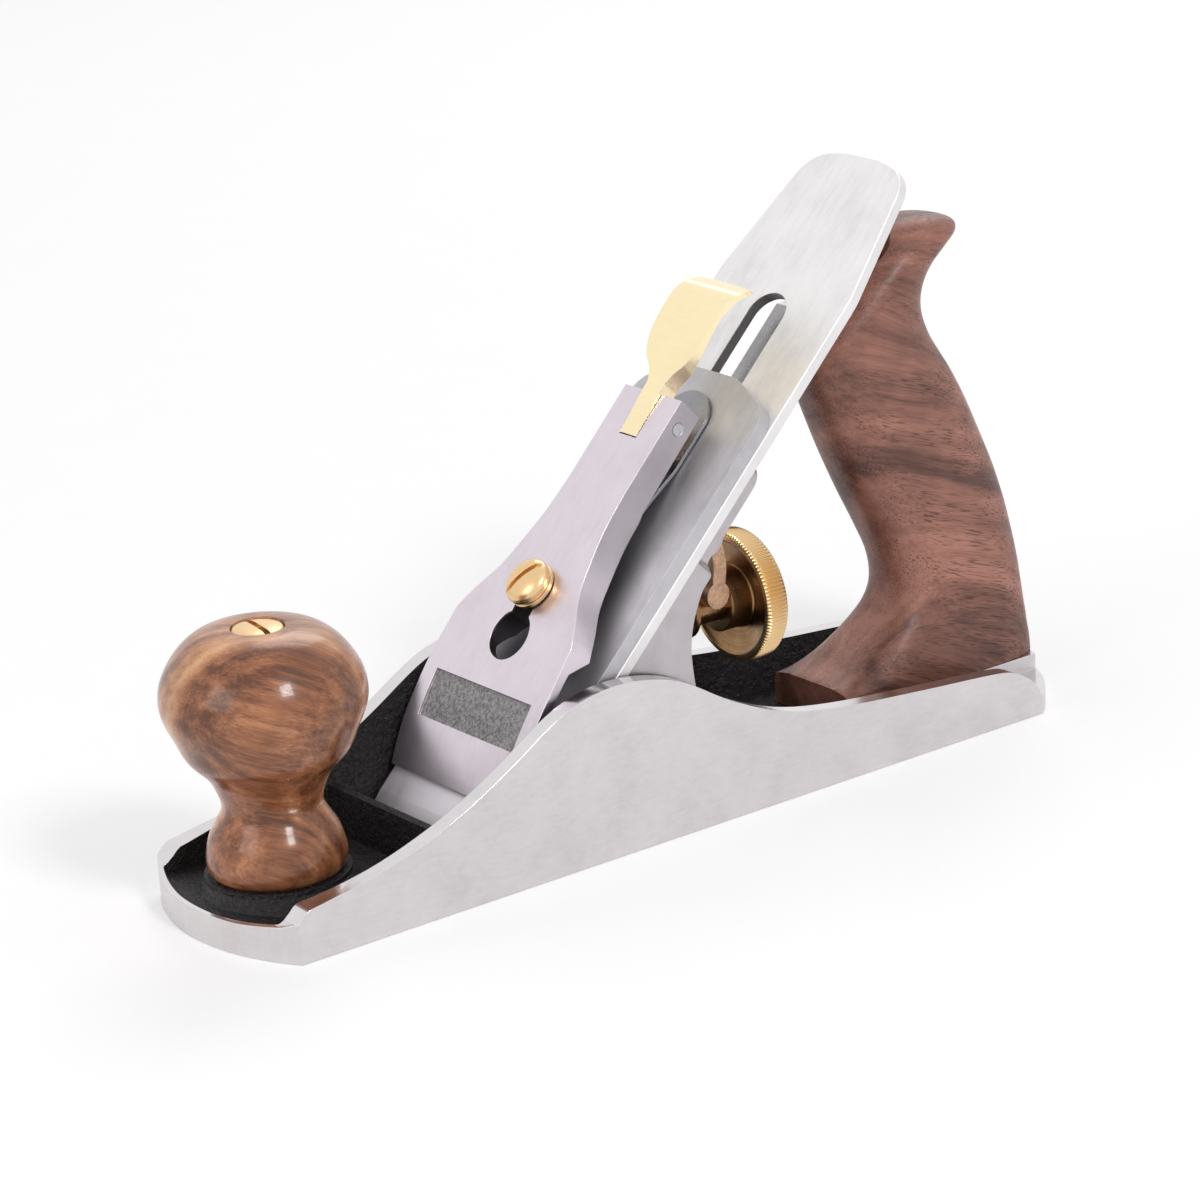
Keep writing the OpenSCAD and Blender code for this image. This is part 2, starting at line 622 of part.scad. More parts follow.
// Width of the lever cap, as distance up and half width
function cap_flank() = concat(
    [[cap_lip_s - 1, cap_w / 2], [48, cap_w / 2 - 0.6], [60.4, cap_w / 2 - 1.4]],
    smooth_line([[60.4, cap_w / 2 - 1.4], [67, 0.33 * cap_bar_w / 2 + 0.66 * cap_w / 2],
                 [74, 16.2 - 11.2 + cap_bar_w / 2], [82, 13.9 - 11.2 + cap_bar_w / 2],
                 [91, 12 - 11.2 + cap_bar_w / 2], [101, cap_bar_w / 2]], 4),
    [[cap_end_s, cap_bar_w / 2], [cap_end_s, 0]]);
module lever_cap() color("silver") {
    lip_h = cap_iron_t + 0.2;
    on_blade() difference() {
        intersection() {
            side_shape(concat(
                smooth_line(cap_face, 4),
                [[cap_end_s, 9.2], [101, 8.5], [98, 8], [60.5, 8], [55, 11.9]],
                smooth_line([[52, 11.8], [44, 10.7], [32, 8], [25, 5.6], [cap_lip_s + 1, lip_h]], 3)), far);
            flat_shape(both_sides(cap_flank()), 0, 30);
        }
        // Sunken panel
        intersection() {
            side_shape(concat(smooth_line([for (p = cap_face) p - [0, panel_depth]], 4),
                              [[cap_end_s, 30], [cap_lip_s, 30]]), panel_w);
            block([panel_low_s, -far, 0], [panel_top_s, far, 30]);
        }
        // Keyhole
        translate([big_hole_s, 0, 0]) cylinder(r = cap_head_r + 0.3, h = 30);
        translate([cap_screw_s, 0, 0]) cylinder(r = cap_screw_r + 0.5, h = 30);
        block([big_hole_s, -cap_screw_r - 0.5, 0], [cap_screw_s, cap_screw_r + 0.5, 30]);
        // Slot and bore of the cam lever
        block([cam_s + stem_end[0] - 0.3, -cam_stem_w / 2 - 0.12, 0], [far, cam_stem_w / 2 + 0.12, 30]);
        translate([cam_s, 0, cam_h]) rod_y(stem_swing_r, cam_stem_w + 0.24);
        translate([cam_s, 0, cam_h]) rod_y(cam_pin_r + thread_gap, far);
        translate([rivet_s, 0, 0]) cylinder(r = 2 + thread_gap, h = 12.2);
    }
}
// Underside of the leaf spring, from its rivet to its free end
spring_line = [[77.5, spring_high_h], [86, spring_high_h], [95, spring_high_h - 0.1], [106, 5.6],
               [114, spring_h + 0.1], [120, spring_h], [137, spring_h]];
module leaf_spring() color("slategray") {
    line = smooth_line(spring_line, 3);
    on_blade() difference() {
        intersection() {
            side_shape(concat(line, [for (i = [len(line) - 1 : -1 : 0]) line[i] + [0, spring_t]]), far);
            linear_extrude(30) union() {
                translate([77.5, -spring_w / 2]) square([128 - 77.5, spring_w]);
                translate([128, 0]) circle(spring_w / 2);
            }
        }
        translate([rivet_s, 0, 0]) cylinder(r = 2 + thread_gap, h = 12.2);
    }
}
module spring_rivet() color("gray") {
    on_blade() translate([rivet_s, 0, 0])
        turned([[0, spring_high_h - 1], [2.4, spring_high_h - 0.9], [3.2, spring_high_h - 0.4],
                [3.2, spring_high_h - 0.05], [2, spring_high_h - 0.05], [2, 12], [0, 12]]);
}
module cam_lever() color("gold") {
    tip = cam_s + paddle_len;
    half = paddle_w / 2;
    stem = cam_stem_w / 2;
    // The paddle arches up from the neck and its end turns down
    upper = smooth_line([[cam_s + stem_end[0], cam_h + stem_end[1]], [cam_s, 17.3], [cam_s + 6.5, 17.9],
                         [cam_s + 11, 18.4], [cam_s + 15.5, 19.5], [cam_s + 21, 20.4], [cam_s + 27, 20.8],
                         [tip - 8, 20.5], [tip - 4.4, 19.2], [tip - 1.8, 17.1], [tip, 14.9]], 4);
    lower = smooth_line([[tip - 0.4, 14.2], [tip - 2.4, 16.1], [tip - 5, 17.8], [tip - 9, 19],
                         [cam_s + 26, 19.2], [cam_s + 20.5, 18.2], [cam_s + 16, 16.6], [cam_s + 12, 14.4],
                         [cam_s + 6, 12.6], [cam_s + 2, 11]], 3);
    on_blade() difference() {
        union() {
            intersection() {
                side_shape(concat(upper, lower, [[cam_s - 4.4, cam_h - 1.5],
                    [cam_s + stem_end[0], cam_h + 1]]), far);
                flat_shape(both_sides(concat(
                    [[cam_s - 9, stem], [cam_s + 8.5, stem]],
                    smooth_line([[cam_s + 8.5, stem], [cam_s + 11.5, 0.42 * half + 0.3],
                                 [cam_s + 14.5, 0.72 * half], [cam_s + 19, 0.9 * half],
                                 [cam_s + 24, 0.95 * half], [cam_s + 30, 0.97 * half], [tip - 4, half],
                                 [tip - 1.4, 0.97 * half], [tip - 0.5, 0.86 * half],
                                 [tip - 0.1, 0.5 * half], [tip, 0]], 3))), 0, 30);
            }
            translate([cam_s, 0, cam_h]) {
                rod_y(4.1, cam_stem_w);
                translate([0, 0, 4.2 - cam_lobe_r]) rod_y(4.2, cam_stem_w);
            }
        }
        translate([cam_s, 0, cam_h]) rod_y(cam_pin_r + thread_gap, 60);
    }
}
module cam_pin() color("dimgray") {
    on_blade() translate([cam_s, 0, cam_h]) rod_y(cam_pin_r, cap_bar_w);
}
module lever_cap_screw() color("gold") {
    base = 16.5;
    on_blade() translate([cap_screw_s, 0, 0]) difference() {
        turned(concat(
            [[0, cap_screw_end_h], [cap_screw_r - 0.6, cap_screw_end_h], [cap_screw_r, cap_screw_end_h + 0.6],
             [cap_screw_r, base],
             [cap_head_r - 0.1, base], [cap_head_r - 0.1, base + 0.9], [cap_head_r - 0.7, base + 1.2],
             [cap_head_r - 0.7, base + 1.7], [cap_head_r, base + 2], [cap_head_r, base + 2.6]],
            [for (a = [15 : 15 : 75]) [cap_head_r * cos(a), base + 2.6 + 2.9 * sin(a)]],
            [[0, base + 5.5]]));
        rotate([0, 0, -28]) driver_cut(cap_head_r, base + 5.6, 2);
    }
}

// Depth adjuster

module depth_stud() color("darkgray") {
    translate([0, 0, wheel_z]) difference() {
        rod_x(stud_r, wheel_x - wheel_t - 7.5, stud_front_x);
        translate([wheel_x - wheel_t - 8, -driver_slot / 2, -5]) cube([2, driver_slot, 10]);
    }
}
module depth_wheel() color("goldenrod") {
    back = wheel_x - wheel_t;
    groove_front = lug_x + lug_r + 1.3;
    groove_back = lug_x - lug_r - 1.3;
    bore = stud_r + thread_gap + 0.02;
    // Turned about x: points are [radius, distance behind the origin]
    translate([0, 0, wheel_z]) rotate([0, -90, 0]) difference() {
        union() {
            turned([[bore, -groove_front - 3.4], [6.8, -groove_front - 3.4], [7.2, -groove_front - 3],
                    [7.2, -groove_front], [groove_r, -groove_front], [groove_r, -groove_back],
                    [8, -groove_back],
                    [8, -wheel_x - 1.6], [8.4, -wheel_x + 2.2], [wheel_r - 2.3, -wheel_x + 0.8],
                    [wheel_r - 1.9, -wheel_x], [wheel_r - 0.9, -wheel_x], [wheel_r - 0.5, -wheel_x + 0.4],
                    [wheel_r - 0.5, -back - 0.5], [wheel_r - 1, -back], [bore, -back]]);
            // Straight ridges round the rim
            translate([0, 0, -wheel_x + 0.5]) linear_extrude(wheel_t - 1.1) difference() {
                polygon([for (i = [0 : 2 * knurls - 1])
                    (i % 2 == 0 ? wheel_r : wheel_r - 0.45) * [cos(180 * i / knurls),
                        sin(180 * i / knurls)]]);
                circle(wheel_r - 3);
            }
        }
    }
}
module yoke() color("peru") {
    pivot = blade_point(yoke_s, -yoke_depth);
    lug = [lug_x, wheel_z + lug_rise];
    difference() {
        union() {
            translate([pivot[0], 0, pivot[1]]) rod_y(3.5, 17.2);
            side_pair(smooth_loop([pivot + [-0.8, 3.3], pivot + [-5.2, 0.2], lug + [-2.9, 9], lug + [-2.2, 2],
                                   lug + [-0.6, -1.6], lug + [1.8, 0.4], lug + [1, 8.6],
                                   pivot + [-1.8, -3.2], pivot + [2.4, 0.6]]), groove_r + 0.3, 8.6);
            for (side = [-1, 1])
                translate([lug[0], side * (groove_r + 8.9) / 2, lug[1]]) rod_y(lug_r, 8.6 - groove_r - 0.3);
            on_blade() side_shape([[yoke_s - 3.6, -yoke_depth - 1], [finger_s + 1, bed_h - bed_t],
                                   [finger_s - finger_t / 2, bed_h + 1],
                                   [finger_s - finger_t / 2, cap_iron_t - 1.2],
                                   [finger_s - finger_t / 2 + 0.6, cap_iron_t - 0.5],
                                   [finger_s + finger_t / 2 - 0.6, cap_iron_t - 0.5],
                                   [finger_s + finger_t / 2, cap_iron_t - 1.2],
                                   [finger_s + finger_t / 2, bed_h + 0.5],
                                   [yoke_s - 1.6, bed_h - bed_t], [yoke_s + 3, -yoke_depth + 2]], 6);
        }
        translate([pivot[0], 0, pivot[1]]) rod_y(yoke_pin_r + thread_gap + 0.02, far);
    }
}
// Closed smooth curve through a list of points
function smooth_loop(p, steps = 4) = [
    for (i = [0 : len(p) - 1], j = [0 : steps - 1])
        between(knot_round(p, i - 1), p[i], knot_round(p, i + 1), knot_round(p, i + 2), j / steps)];
module yoke_pin() color("dimgray") {
    on_blade() translate([yoke_s, 0, -yoke_depth]) rod_y(yoke_pin_r, 24.4);
}

// Lateral lever

module lateral_lever() color("gray") {
    top = strip_top_h;
    low_end = bed_h - bed_t + 1.6;
    half = lateral_w / 2;
    line = [[roller_s - half, top], [frog_top_s + 2, top], [frog_top_s + 8, low_end + 1.4],
            [frog_top_s + 12, low_end + 1], [lateral_end_s - 3, low_end + 1], [lateral_end_s, low_end - 1.5],
            [lateral_end_s + 0.6, low_end - 5]];
    on_blade() difference() {
        intersection() {
            side_shape(concat(line, [[lateral_end_s - 1.2, low_end - 5], [lateral_end_s - 2, low_end - 2],
                                     [lateral_end_s - 4.2, low_end + 1 - strip_t],
                                     [frog_top_s + 12, low_end + 1 - strip_t],
                                     [frog_top_s + 7.4, low_end + 1.4 - strip_t],
                                     [frog_top_s + 1.4, top - strip_t],
                                     [roller_s - half, top - strip_t]]), far);
            linear_extrude(60, center = true) union() {
                translate([roller_s, 0]) circle(half - 0.5);
                translate([roller_s, 0.5 - half]) square([10, 2 * half - 1]);
                translate([roller_s + 5, -half]) square([lateral_end_s + 2 - roller_s - 5, lateral_w]);
            }
        }
        translate([lateral_s, 0, -20]) cylinder(r = 2.06, h = 30);
        translate([roller_s, 0, -20]) cylinder(r = 1.56, h = 30);
    }
}
module lateral_pivot() color("gray") {
    on_blade() translate([lateral_s, 0, 0])
        turned([[0, bed_h - bed_t - 0.8], [3.4, bed_h - bed_t - 0.8], [3.4, bed_h - bed_t - 0.05],
            [2, bed_h - bed_t - 0.05],
                [2, bed_h - 0.1], [0, bed_h - 0.1]]);
}
// Roller with its rivet, which turns in the end of the lateral lever
module lateral_roller() color("lightgray") {
    on_blade() translate([roller_s, 0, 0])
        turned([[0, strip_top_h - strip_t - 0.1], [1.5, strip_top_h - strip_t - 0.1],
            [1.5, strip_top_h + 0.1],
                [roller_r, strip_top_h + 0.1], [roller_r, -0.6], [roller_r - 0.4, -0.2], [0, -0.2]]);
}

// Knob

function knob_outline() = let (foot = knob_foot_r, waist = knob_waist_r, ball = knob_r, low = knob_seat_z,
    high = knob_top_z)
    smooth_line([[foot - 1.4, low], [foot - 0.3, low + 1.4], [foot, low + 4.2], [foot - 1.1, low + 9.2],
                 [(foot + waist) / 2 - 0.7, low + 13], [waist + 0.3, low + 15.5], [waist, low + 17.6],
                 [waist + 0.8, low + 20.6], [waist + 2.9, low + 25],
                 [0.4 * waist + 0.6 * ball - 0.2, low + 30],
                 [ball - 2.9, low + 35], [ball - 0.7, low + 40], [ball, high - 17.2],
                 [ball - 0.6, high - 12.8],
                 [ball - 2.6, high - 8.6], [ball - 5.6, high - 4.7], [ball - 9.4, high - 1.8],
                 [ball - 14, high - 0.3], [nut_r + 0.5, high]], 3);
module knob() color("sienna") {
    translate([knob_x, 0, 0]) difference() {
        turned(concat([[0, knob_seat_z + 0.05], [knob_foot_r - 1.4, knob_seat_z + 0.05]],
                      [for (p = knob_outline()) if (p[1] > knob_seat_z + 0.2) p], [[0, knob_top_z]]));
        cylinder(r = bolt_r + wood_gap, h = 200);
        translate([0, 0, knob_top_z - 7]) cylinder(r = nut_r + 0.15, h = 20);
    }
}
module knob_rod() color("dimgray") {
    translate([knob_x, 0, 2.4]) cylinder(r = bolt_r, h = knob_top_z - 5.4);
}
// Round brass nut with a shallow dome and a screwdriver slot, its top at the origin
module brass_nut(length, turn) {
    difference() {
        turned([[0, -length], [nut_r - 0.4, -length], [nut_r, 0.4 - length], [nut_r, -0.9],
            [nut_r - 0.5, -0.4],
                [nut_r - 2, -0.1], [nut_r - 4, 0], [0, 0]]);
        translate([0, 0, -length - 1]) cylinder(r = bolt_r + thread_gap, h = length - 0.6);
        rotate([0, 0, turn]) driver_cut(nut_r, 0.1, 1.7);
    }
}
module knob_nut() color("gold") {
    translate([knob_x, 0, knob_top_z + 0.2]) brass_nut(7, 82);
}

// Tote

// One level section of the tote: an oval that grows square towards the foot
function tote_ring(section, sides) = let (
        mid = (section[1] + section[2]) / 2,
        long = (section[2] - section[1]) / 2,
        wide = tote_w / 2 + (section[3] < 0 ? section[3] * tote_w / 4.4 : section[3] * (tote_foot_w - tote_w) / 2),
        sharp = 2 / section[4])
    [for (i = [0 : sides - 1]) let (a = 360 * (i + 0.5) / sides)
        [mid + long * sign(cos(a)) * pow(abs(cos(a)), sharp), wide * sign(sin(a)) * pow(abs(sin(a)),
        sharp), section[0]]];
// Solid whose level rings are joined in turn
module ringed(rings, sides) {
    last = len(rings) - 1;
    polyhedron(
        [for (ring = rings) each ring],
        concat(
            [[for (i = [0 : sides - 1]) i]],
            [[for (i = [sides - 1 : -1 : 0]) last * sides + i]],
            [for (k = [0 : last - 1], i = [0 : sides - 1]) let (a = k * sides + i,
            b = k * sides + (i + 1) % sides)
                [a, a + sides, b + sides]],
            [for (k = [0 : last - 1], i = [0 : sides - 1]) let (a = k * sides + i,
            b = k * sides + (i + 1) % sides)
                [a, b + sides, b]]));
}
module on_tote_bolt() translate([tote_bolt_x, 0, 0]) rotate([0, tote_bolt_lean, 0]) children();
tote_nut_z = 122.5;
module tote() color("saddlebrown") {
    sides = 28;
    difference() {
        ringed([for (section = smooth_line(tote_sections, 2)) tote_ring(section, sides)], sides);
        block([tote_front_x, -far, -far], [far, far, far]);
        block([-far, -far, -far], [far, far, tote_seat_z]);
        block([-far, -far, -far], [tote_step_x + 0.3, far, tote_pad_z + 0.1]);
        on_tote_bolt() {
            cylinder(r = bolt_r + wood_gap, h = 200);
            translate([0, 0, tote_nut_z - 8.5]) cylinder(r = nut_r + 0.15, h = 40);
        }
    }
}
module tote_rod() color("dimgray") {
    on_tote_bolt() translate([0, 0, 3]) cylinder(r = bolt_r, h = tote_nut_z - 6);
}
module tote_nut() color("gold") {
    on_tote_bolt() translate([0, 0, tote_nut_z]) brass_nut(8, 90);
}

body();
frog();
frog_pins();
frog_clamp_screws();
frog_adjust_screw();
adjust_tab();
tab_screw();
iron();
cap_iron();
cap_iron_screw();
lever_cap();
leaf_spring();
spring_rivet();
cam_lever();
cam_pin();
lever_cap_screw();
depth_stud();
depth_wheel();
yoke();
yoke_pin();
lateral_lever();
lateral_pivot();
lateral_roller();
knob();
knob_rod();
knob_nut();
tote();
tote_rod();
tote_nut();
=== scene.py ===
"""Smoothing plane: the looks of the casting, the iron and its caps, the brass fittings and the wooden grips.

Lengths in the mesh functions are millimetres in the frame of the part (+X to the toe, +Y to the
user's left, +Z up) and become metres when a mesh is made. Materials read the same frame in metres.
The blade frame goes up the iron from its cutting edge, and lifts square off the iron's upper face.
"""

import json
import math

import bmesh
import bpy
import numpy as np
from bpy.props import FloatProperty, FloatVectorProperty, PointerProperty
from mathutils import Matrix, Vector

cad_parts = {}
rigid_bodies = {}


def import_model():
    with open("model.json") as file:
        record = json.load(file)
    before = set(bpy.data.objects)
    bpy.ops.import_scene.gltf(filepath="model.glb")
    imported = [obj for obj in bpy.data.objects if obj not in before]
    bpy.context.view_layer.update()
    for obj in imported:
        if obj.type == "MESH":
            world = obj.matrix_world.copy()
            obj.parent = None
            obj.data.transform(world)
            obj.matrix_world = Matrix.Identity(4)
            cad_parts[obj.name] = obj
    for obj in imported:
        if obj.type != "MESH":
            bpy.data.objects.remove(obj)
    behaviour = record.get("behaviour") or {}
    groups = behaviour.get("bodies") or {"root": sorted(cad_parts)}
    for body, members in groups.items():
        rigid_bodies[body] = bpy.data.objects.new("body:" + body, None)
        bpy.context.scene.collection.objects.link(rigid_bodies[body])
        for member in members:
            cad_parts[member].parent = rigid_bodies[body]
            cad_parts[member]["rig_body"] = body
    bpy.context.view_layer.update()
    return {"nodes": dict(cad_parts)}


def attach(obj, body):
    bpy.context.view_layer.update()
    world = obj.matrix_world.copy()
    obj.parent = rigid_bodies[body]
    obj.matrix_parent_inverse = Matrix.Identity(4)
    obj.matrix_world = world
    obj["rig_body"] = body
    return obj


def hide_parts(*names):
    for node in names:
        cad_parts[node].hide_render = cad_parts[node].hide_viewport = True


bl_info = {
    "name": "Smoothing plane looks",
    "version": (1, 0, 0),
    "blender": (4, 5, 0),
    "location": "3D View > Sidebar > Plane",
    "description": "Dresses the parts of a bench smoothing plane",
    "category": "Add Mesh",
}

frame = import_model()
NODES = frame["nodes"]
BODY_OF = {name: obj["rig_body"] for name, obj in NODES.items()}

MM = 0.001
ROOT_HALF = math.sqrt(0.5)

# Places in metres

EDGE_X = 0.0603
TOE_CENTRE_X = 0.069833
TOE_RIM_R = 0.054617
HEEL_CENTRE_X = -0.0930
HEEL_RIM_R = 0.038350
WHEEL_Z = 0.0445
WHEEL_RIM_R = (0.0150, 0.0153)
SLOT_TOP_CENTRE = 0.1625

# Where one finish, painted shade or painted highlight of a piece gives way to another, from and to in metres

SIDE_FACE = (0.02646, 0.02654)
GUSSET_SIDE = (0.0251, 0.02516)
GUSSET_START = (0.0995, 0.1005)
GUSSET_HEIGHT = (0.00785, 0.00795)
TAIL_END = (-0.1154, -0.1150)
PAD_SIDE = (0.0149, 0.01494)
PAD_FRONT = (-0.1075, -0.1070)
PAD_TOP = (0.0056, 0.0057)
SOLE_FACE = (0.0002, 0.0004)
# Where the walls of the iron's slot get painted shade
SLOT_SIDE = (0.00664, 0.00670)
SLOT_START = (0.030, 0.031)
# Span under the lever cap where the cap iron gets painted shade
CAP_SHADE_START = (0.024, 0.030)
CAP_SHADE_END = (0.080, 0.110)
CAP_SHADE_SIDE = (0.008, 0.020)
# Span of the painted highlight on the cap iron's front
CAP_IRON_FRONT = (0.026, 0.032)
PANEL_LOW = (0.03222, 0.03226)
PANEL_TOP = (0.04424, 0.04428)
PANEL_SIDE = (0.01954, 0.01958)
PANEL_DEPTH = (-0.0001, 0.0001)
# Span of the lever cap's keyhole that gets painted shade
KEYHOLE_LOW = (0.0500, 0.0502)
KEYHOLE_TOP = (0.0760, 0.0765)
KEYHOLE_SIDE = (0.0070, 0.0072)
KEYHOLE_DEPTH = (0.0004, 0.0007)
# Where the painted shade on the lever cap's flanks begins
FLANK_START = (0.070, 0.090)

# Half width of the edge between a ground rim and the enamel, and how far from its centre an arc begins

RIM_BLUR = 0.00004
ARC_START = (0.010, 0.011)

# Shares of a normal that count as facing up or facing sideways

FACING_UP = (0.2, 0.35)
FACING_SIDE = (0.72, 0.86)

# Lines in the blade frame: a place up the iron, the lift there, and the rise of the line per metre

PANEL_FLOOR = (0.0322, 0.0104, 0.215)
CAP_FACE = (0.060, 0.0153, 0.075)

# Colours of painted shade and a painted highlight on places of a piece

# Painted shade on the walls of the iron's slot
SLOT_WALL_SHADE = (0.09, 0.078, 0.078)
# Painted shade in the lever cap's keyhole
KEYHOLE_SHADE = (0.06, 0.058, 0.06)
# Painted shade on the lever cap's flanks that face sideways
FLANK_SHADE = (0.24, 0.235, 0.235)
# Painted highlight on the bare faces of the casting that look up
TOP_HIGHLIGHT = (0.74, 0.72, 0.75)


# Meshes: points closer than the merge distances become one, faces flatter to each other than the angle join

SKIN_MERGE = 1e-7
SOLID_MERGE = 1e-6
FLAT_ANGLE = 0.3


def smooth_points(points, steps):
    """Catmull-Rom curve through every point: a cubic between neighbours that also heeds the ones beyond."""
    p = np.asarray(points, float)
    padded = np.vstack([p[:1], p, p[-1:]])
    a, b, c, d = (padded[i:len(p) - 1 + i, None, :] for i in range(4))
    t = (np.arange(steps) / steps)[None, :, None]
    curve = b + 0.5 * t * (c - a + t * (2 * a - 5 * b + 4 * c - d + t * (3 * (b - c) + d - a)))
    return np.vstack([curve.reshape(-1, p.shape[1]), p[-1:]])


def net_faces(rows, cols, wrap):
    """Quads between neighbours of a net of rows x cols points, joined round if it wraps."""
    i = np.arange(rows - 1)[:, None]
    j = np.arange(cols if wrap else cols - 1)[None, :]
    k = (j + 1) % cols
    quads = np.stack([i * cols + j, i * cols + k, (i + 1) * cols + k, (i + 1) * cols + j], -1)
    return quads.reshape(-1, 4).tolist()


def mesh_from(name, points, faces):
    """Mesh from points in millimetres, its doubles merged and its faces turned outwards."""
    mesh = bpy.data.meshes.new(name)
    mesh.from_pydata((np.asarray(points, float) * MM).tolist(), [], faces)
    net = bmesh.new()
    net.from_mesh(mesh)
    bmesh.ops.remove_doubles(net, verts=net.verts, dist=SKIN_MERGE)
    bmesh.ops.recalc_face_normals(net, faces=net.faces)
    net.to_mesh(mesh)
    net.free()
    return mesh


def smooth_faces(mesh, crease):
    """Smooth shading, but sharp at edges sharper than the crease angle in degrees."""
    mesh.shade_smooth()
    mesh.set_sharp_from_angle(angle=math.radians(crease))


def place_mesh(name, mesh, crease=35):
    """New object for a mesh, smooth except at its creases."""
    piece = bpy.data.objects.new(name, mesh)
    bpy.context.scene.collection.objects.link(piece)
    smooth_faces(mesh, crease)
    return piece


def ringed_mesh(name, rings):
    """Closed skin over rings of points, one after the other, with a face over each end ring."""
    rings = np.asarray(rings, float)
    rows, cols = rings.shape[:2]
    faces = net_faces(rows, cols, True)
    faces.append(list(range(cols)))
    faces.append([(rows - 1) * cols + i for i in range(cols)])
    return mesh_from(name, rings.reshape(-1, 3), faces)


def box_mesh(name, low, high):
    """Closed box between two corners."""
    x, y, z = zip(low, high)
    rings = [[(x[0], y[0], v), (x[1], y[0], v), (x[1], y[1], v), (x[0], y[1], v)] for v in z]
    return ringed_mesh(name, rings)


def turned_mesh(name, profile, columns, place):
    """Profile of (radius, height) carried round an axis; place maps x, y and height to the part's frame."""
    profile = np.asarray(profile, float)
    angle = np.arange(columns) * 2 * np.pi / columns
    x = profile[:, :1] * np.cos(angle)
    y = profile[:, :1] * np.sin(angle)
    z = np.repeat(profile[:, 1:2], columns, 1)
    points = np.stack(place(x, y, z), -1)
    return mesh_from(name, points.reshape(-1, 3), net_faces(len(profile), columns, True))


def dress(piece, node, finish):
    """The piece stands for a CAD node, rides on its body and takes its slot and finish."""
    piece.data.materials.clear()
    piece.data.materials.append(finish)
    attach(piece, BODY_OF[node])
    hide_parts(node)
    return piece


def paint_node(node, finish):
    """Gives a carried-over CAD node its finish."""
    solid = NODES[node]
    if not solid.material_slots:
        raise RuntimeError("no material slot on " + node)
    for slot in solid.material_slots:
        slot.material = finish


def eased_copy(node, finish, width, crease=28, segments=2):
    """Copy of a CAD node, its loose triangles merged and its edges eased by a bevel of a width in mm.

    Each corner's normal is weighted by the size of the faces round it, so flat faces stay flat.
    """
    net = bmesh.new()
    net.from_mesh(NODES[node].data)
    bmesh.ops.remove_doubles(net, verts=net.verts, dist=SOLID_MERGE)
    bmesh.ops.dissolve_limit(net, angle_limit=math.radians(FLAT_ANGLE), verts=net.verts, edges=net.edges)
    mesh = bpy.data.meshes.new(node + "_eased")
    net.to_mesh(mesh)
    net.free()
    piece = place_mesh(node + "_eased", mesh, crease)
    if width > 0:
        bevel = piece.modifiers.new("eased_edges", "BEVEL")
        bevel.width = width * MM
        bevel.segments = segments
        bevel.limit_method = "ANGLE"
        bevel.angle_limit = math.radians(crease)
        bevel.use_clamp_overlap = True
        weigh = piece.modifiers.new("even_normals", "WEIGHTED_NORMAL")
        weigh.mode = "FACE_AREA"
        weigh.weight = 80
        weigh.keep_sharp = True
    return dress(piece, node, finish)


# Finishes

def darker(colour, share):
    """Colour with each channel brought down to a share of itself."""
    return tuple(c * share for c in colour)


def paler(colour, share, lift=0.0):
    """Colour with each channel brought up, to white at most."""
    return tuple(min(1, c * share + lift) for c in colour)


# Place of the first value and of the result among a mix node's sockets
MIX_SOCKETS = {"FLOAT": (2, 0), "VECTOR": (4, 1), "RGBA": (6, 2)}


